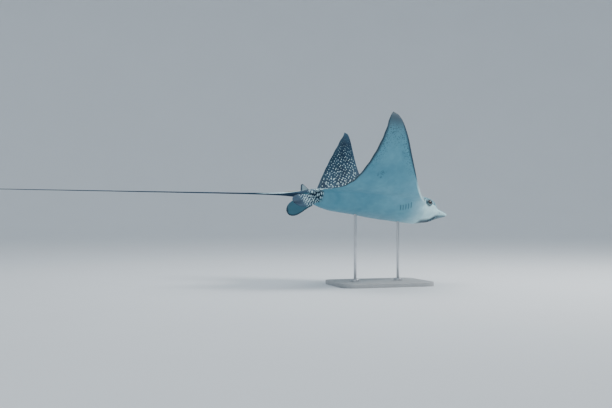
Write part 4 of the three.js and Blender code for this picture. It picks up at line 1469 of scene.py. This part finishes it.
sting_material, h, sting_shader = new_material("sting")
sting_place = h.object_place()
streaks = h.noise(h.turned(sting_place, 0, (30, 260, 260)), 1.0)
grained(
    h, sting_shader, sting_place, Colour=h.mix(streaks, (0.46, 0.40, 0.29), (0.72, 0.66, 0.54)),
    Tint=(0.25, 0.20, 0.13), Grain_Scale=900.0, Tint_Share=0.25, Roughness=0.42, Roughness_Spread=0.12,
)

base_material, b, base_shader = new_material("base_paint")
base_grain = grained(
    b, base_shader, b.object_place(), Colour=(0.40, 0.41, 0.42), Tint=(0.33, 0.34, 0.35), Grain_Scale=320.0,
    Tint_Share=0.35, Roughness=0.45, Roughness_Spread=0.10,
)
bumped(b, base_shader, base_grain, 0.15, 0.0004)

steel_material, t, steel_shader = new_material("brushed_steel")
steel_place = t.object_place()
brushing = t.noise(t.turned(steel_place, 0, (90, 90, 1400)), 1.0, 2.0)
grained(
    t, steel_shader, steel_place, Colour=t.mix(brushing, (0.50, 0.51, 0.53), (0.66, 0.67, 0.69)),
    Tint=(0.42, 0.43, 0.45), Grain_Scale=260.0, Tint_Share=0.25, Roughness=0.30, Roughness_Spread=0.08,
)
t.fill(steel_shader, Metallic=1.0)
bumped(t, steel_shader, brushing, 0.12, 0.0002)

floor_material, f, floor_shader = new_material("studio_floor")
floor_colour = f.mix(f.noise(f.object_place(), 1.5), (0.70, 0.73, 0.76), (0.73, 0.76, 0.79))
f.fill(floor_shader, Base_Color=floor_colour, Roughness=0.85)


def wear(piece, material):
    piece.data.materials.clear()
    piece.data.materials.append(material)


wear(ray_skin, skin_material)
wear(floor, floor_material)
wear(base, base_material)
for piece in (*rods.values(), *collars.values()):
    wear(piece, steel_material)
for piece in eyes.values():
    wear(piece, eye_material)
for piece in spines.values():
    wear(piece, sting_material)
select_only(ray_skin)
bpy.ops.object.shade_smooth()

# ---------------------------------------------------------------- what each piece stands for
wing_lengths = ("inner", "middle", "outer")
wing_names = [f"wing_{side}_{length}" for side in ("left", "right") for length in wing_lengths]
flesh = ["bill", "head", "trunk", *wing_names, "pelvic_fin_left", "pelvic_fin_right", "dorsal_fin",
         "tail_root", "tail_1", "tail_2", "tail_3", "tail_4"]
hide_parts(*flesh)
for side, word in ((1, "left"), (-1, "right")):
    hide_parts("eye_" + word)
    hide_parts("tail_spine_" + word)
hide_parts("stand_base")
for end in ends:
    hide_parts("stand_rod_" + end)
    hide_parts("stand_collar_" + end)
for piece in (ray_skin, base, *eyes.values(), *spines.values(), *rods.values(), *collars.values()):
    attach(piece, "root")

# ---------------------------------------------------------------- light
ray_middle = Vector((0.0, 0.0, 0.5))


def soft_light(name, place, size, power, colour):
    aim = (ray_middle - Vector(place)).to_track_quat("-Z", "Y").to_euler()
    bpy.ops.object.light_add(type="AREA", location=place, rotation=aim)
    light = bpy.context.object
    light.name = name
    light.data.size = size
    light.data.energy = power
    light.data.color = colour


soft_light("key_light", (2.6, -1.2, 3.4), 1.4, 150, (1.0, 0.99, 0.96))
soft_light("fill_light", (-3.0, -4.2, 1.4), 3.0, 22, (0.90, 0.96, 1.0))
soft_light("top_light", (-0.4, 0.8, 4.2), 2.4, 60, (0.95, 0.98, 1.0))
world = bpy.data.worlds.new("studio")
bpy.context.scene.world = world
world.use_nodes = True
world.node_tree.nodes["Background"].inputs["Color"].default_value = (0.84, 0.93, 1.0, 1)
world.node_tree.nodes["Background"].inputs["Strength"].default_value = 0.85
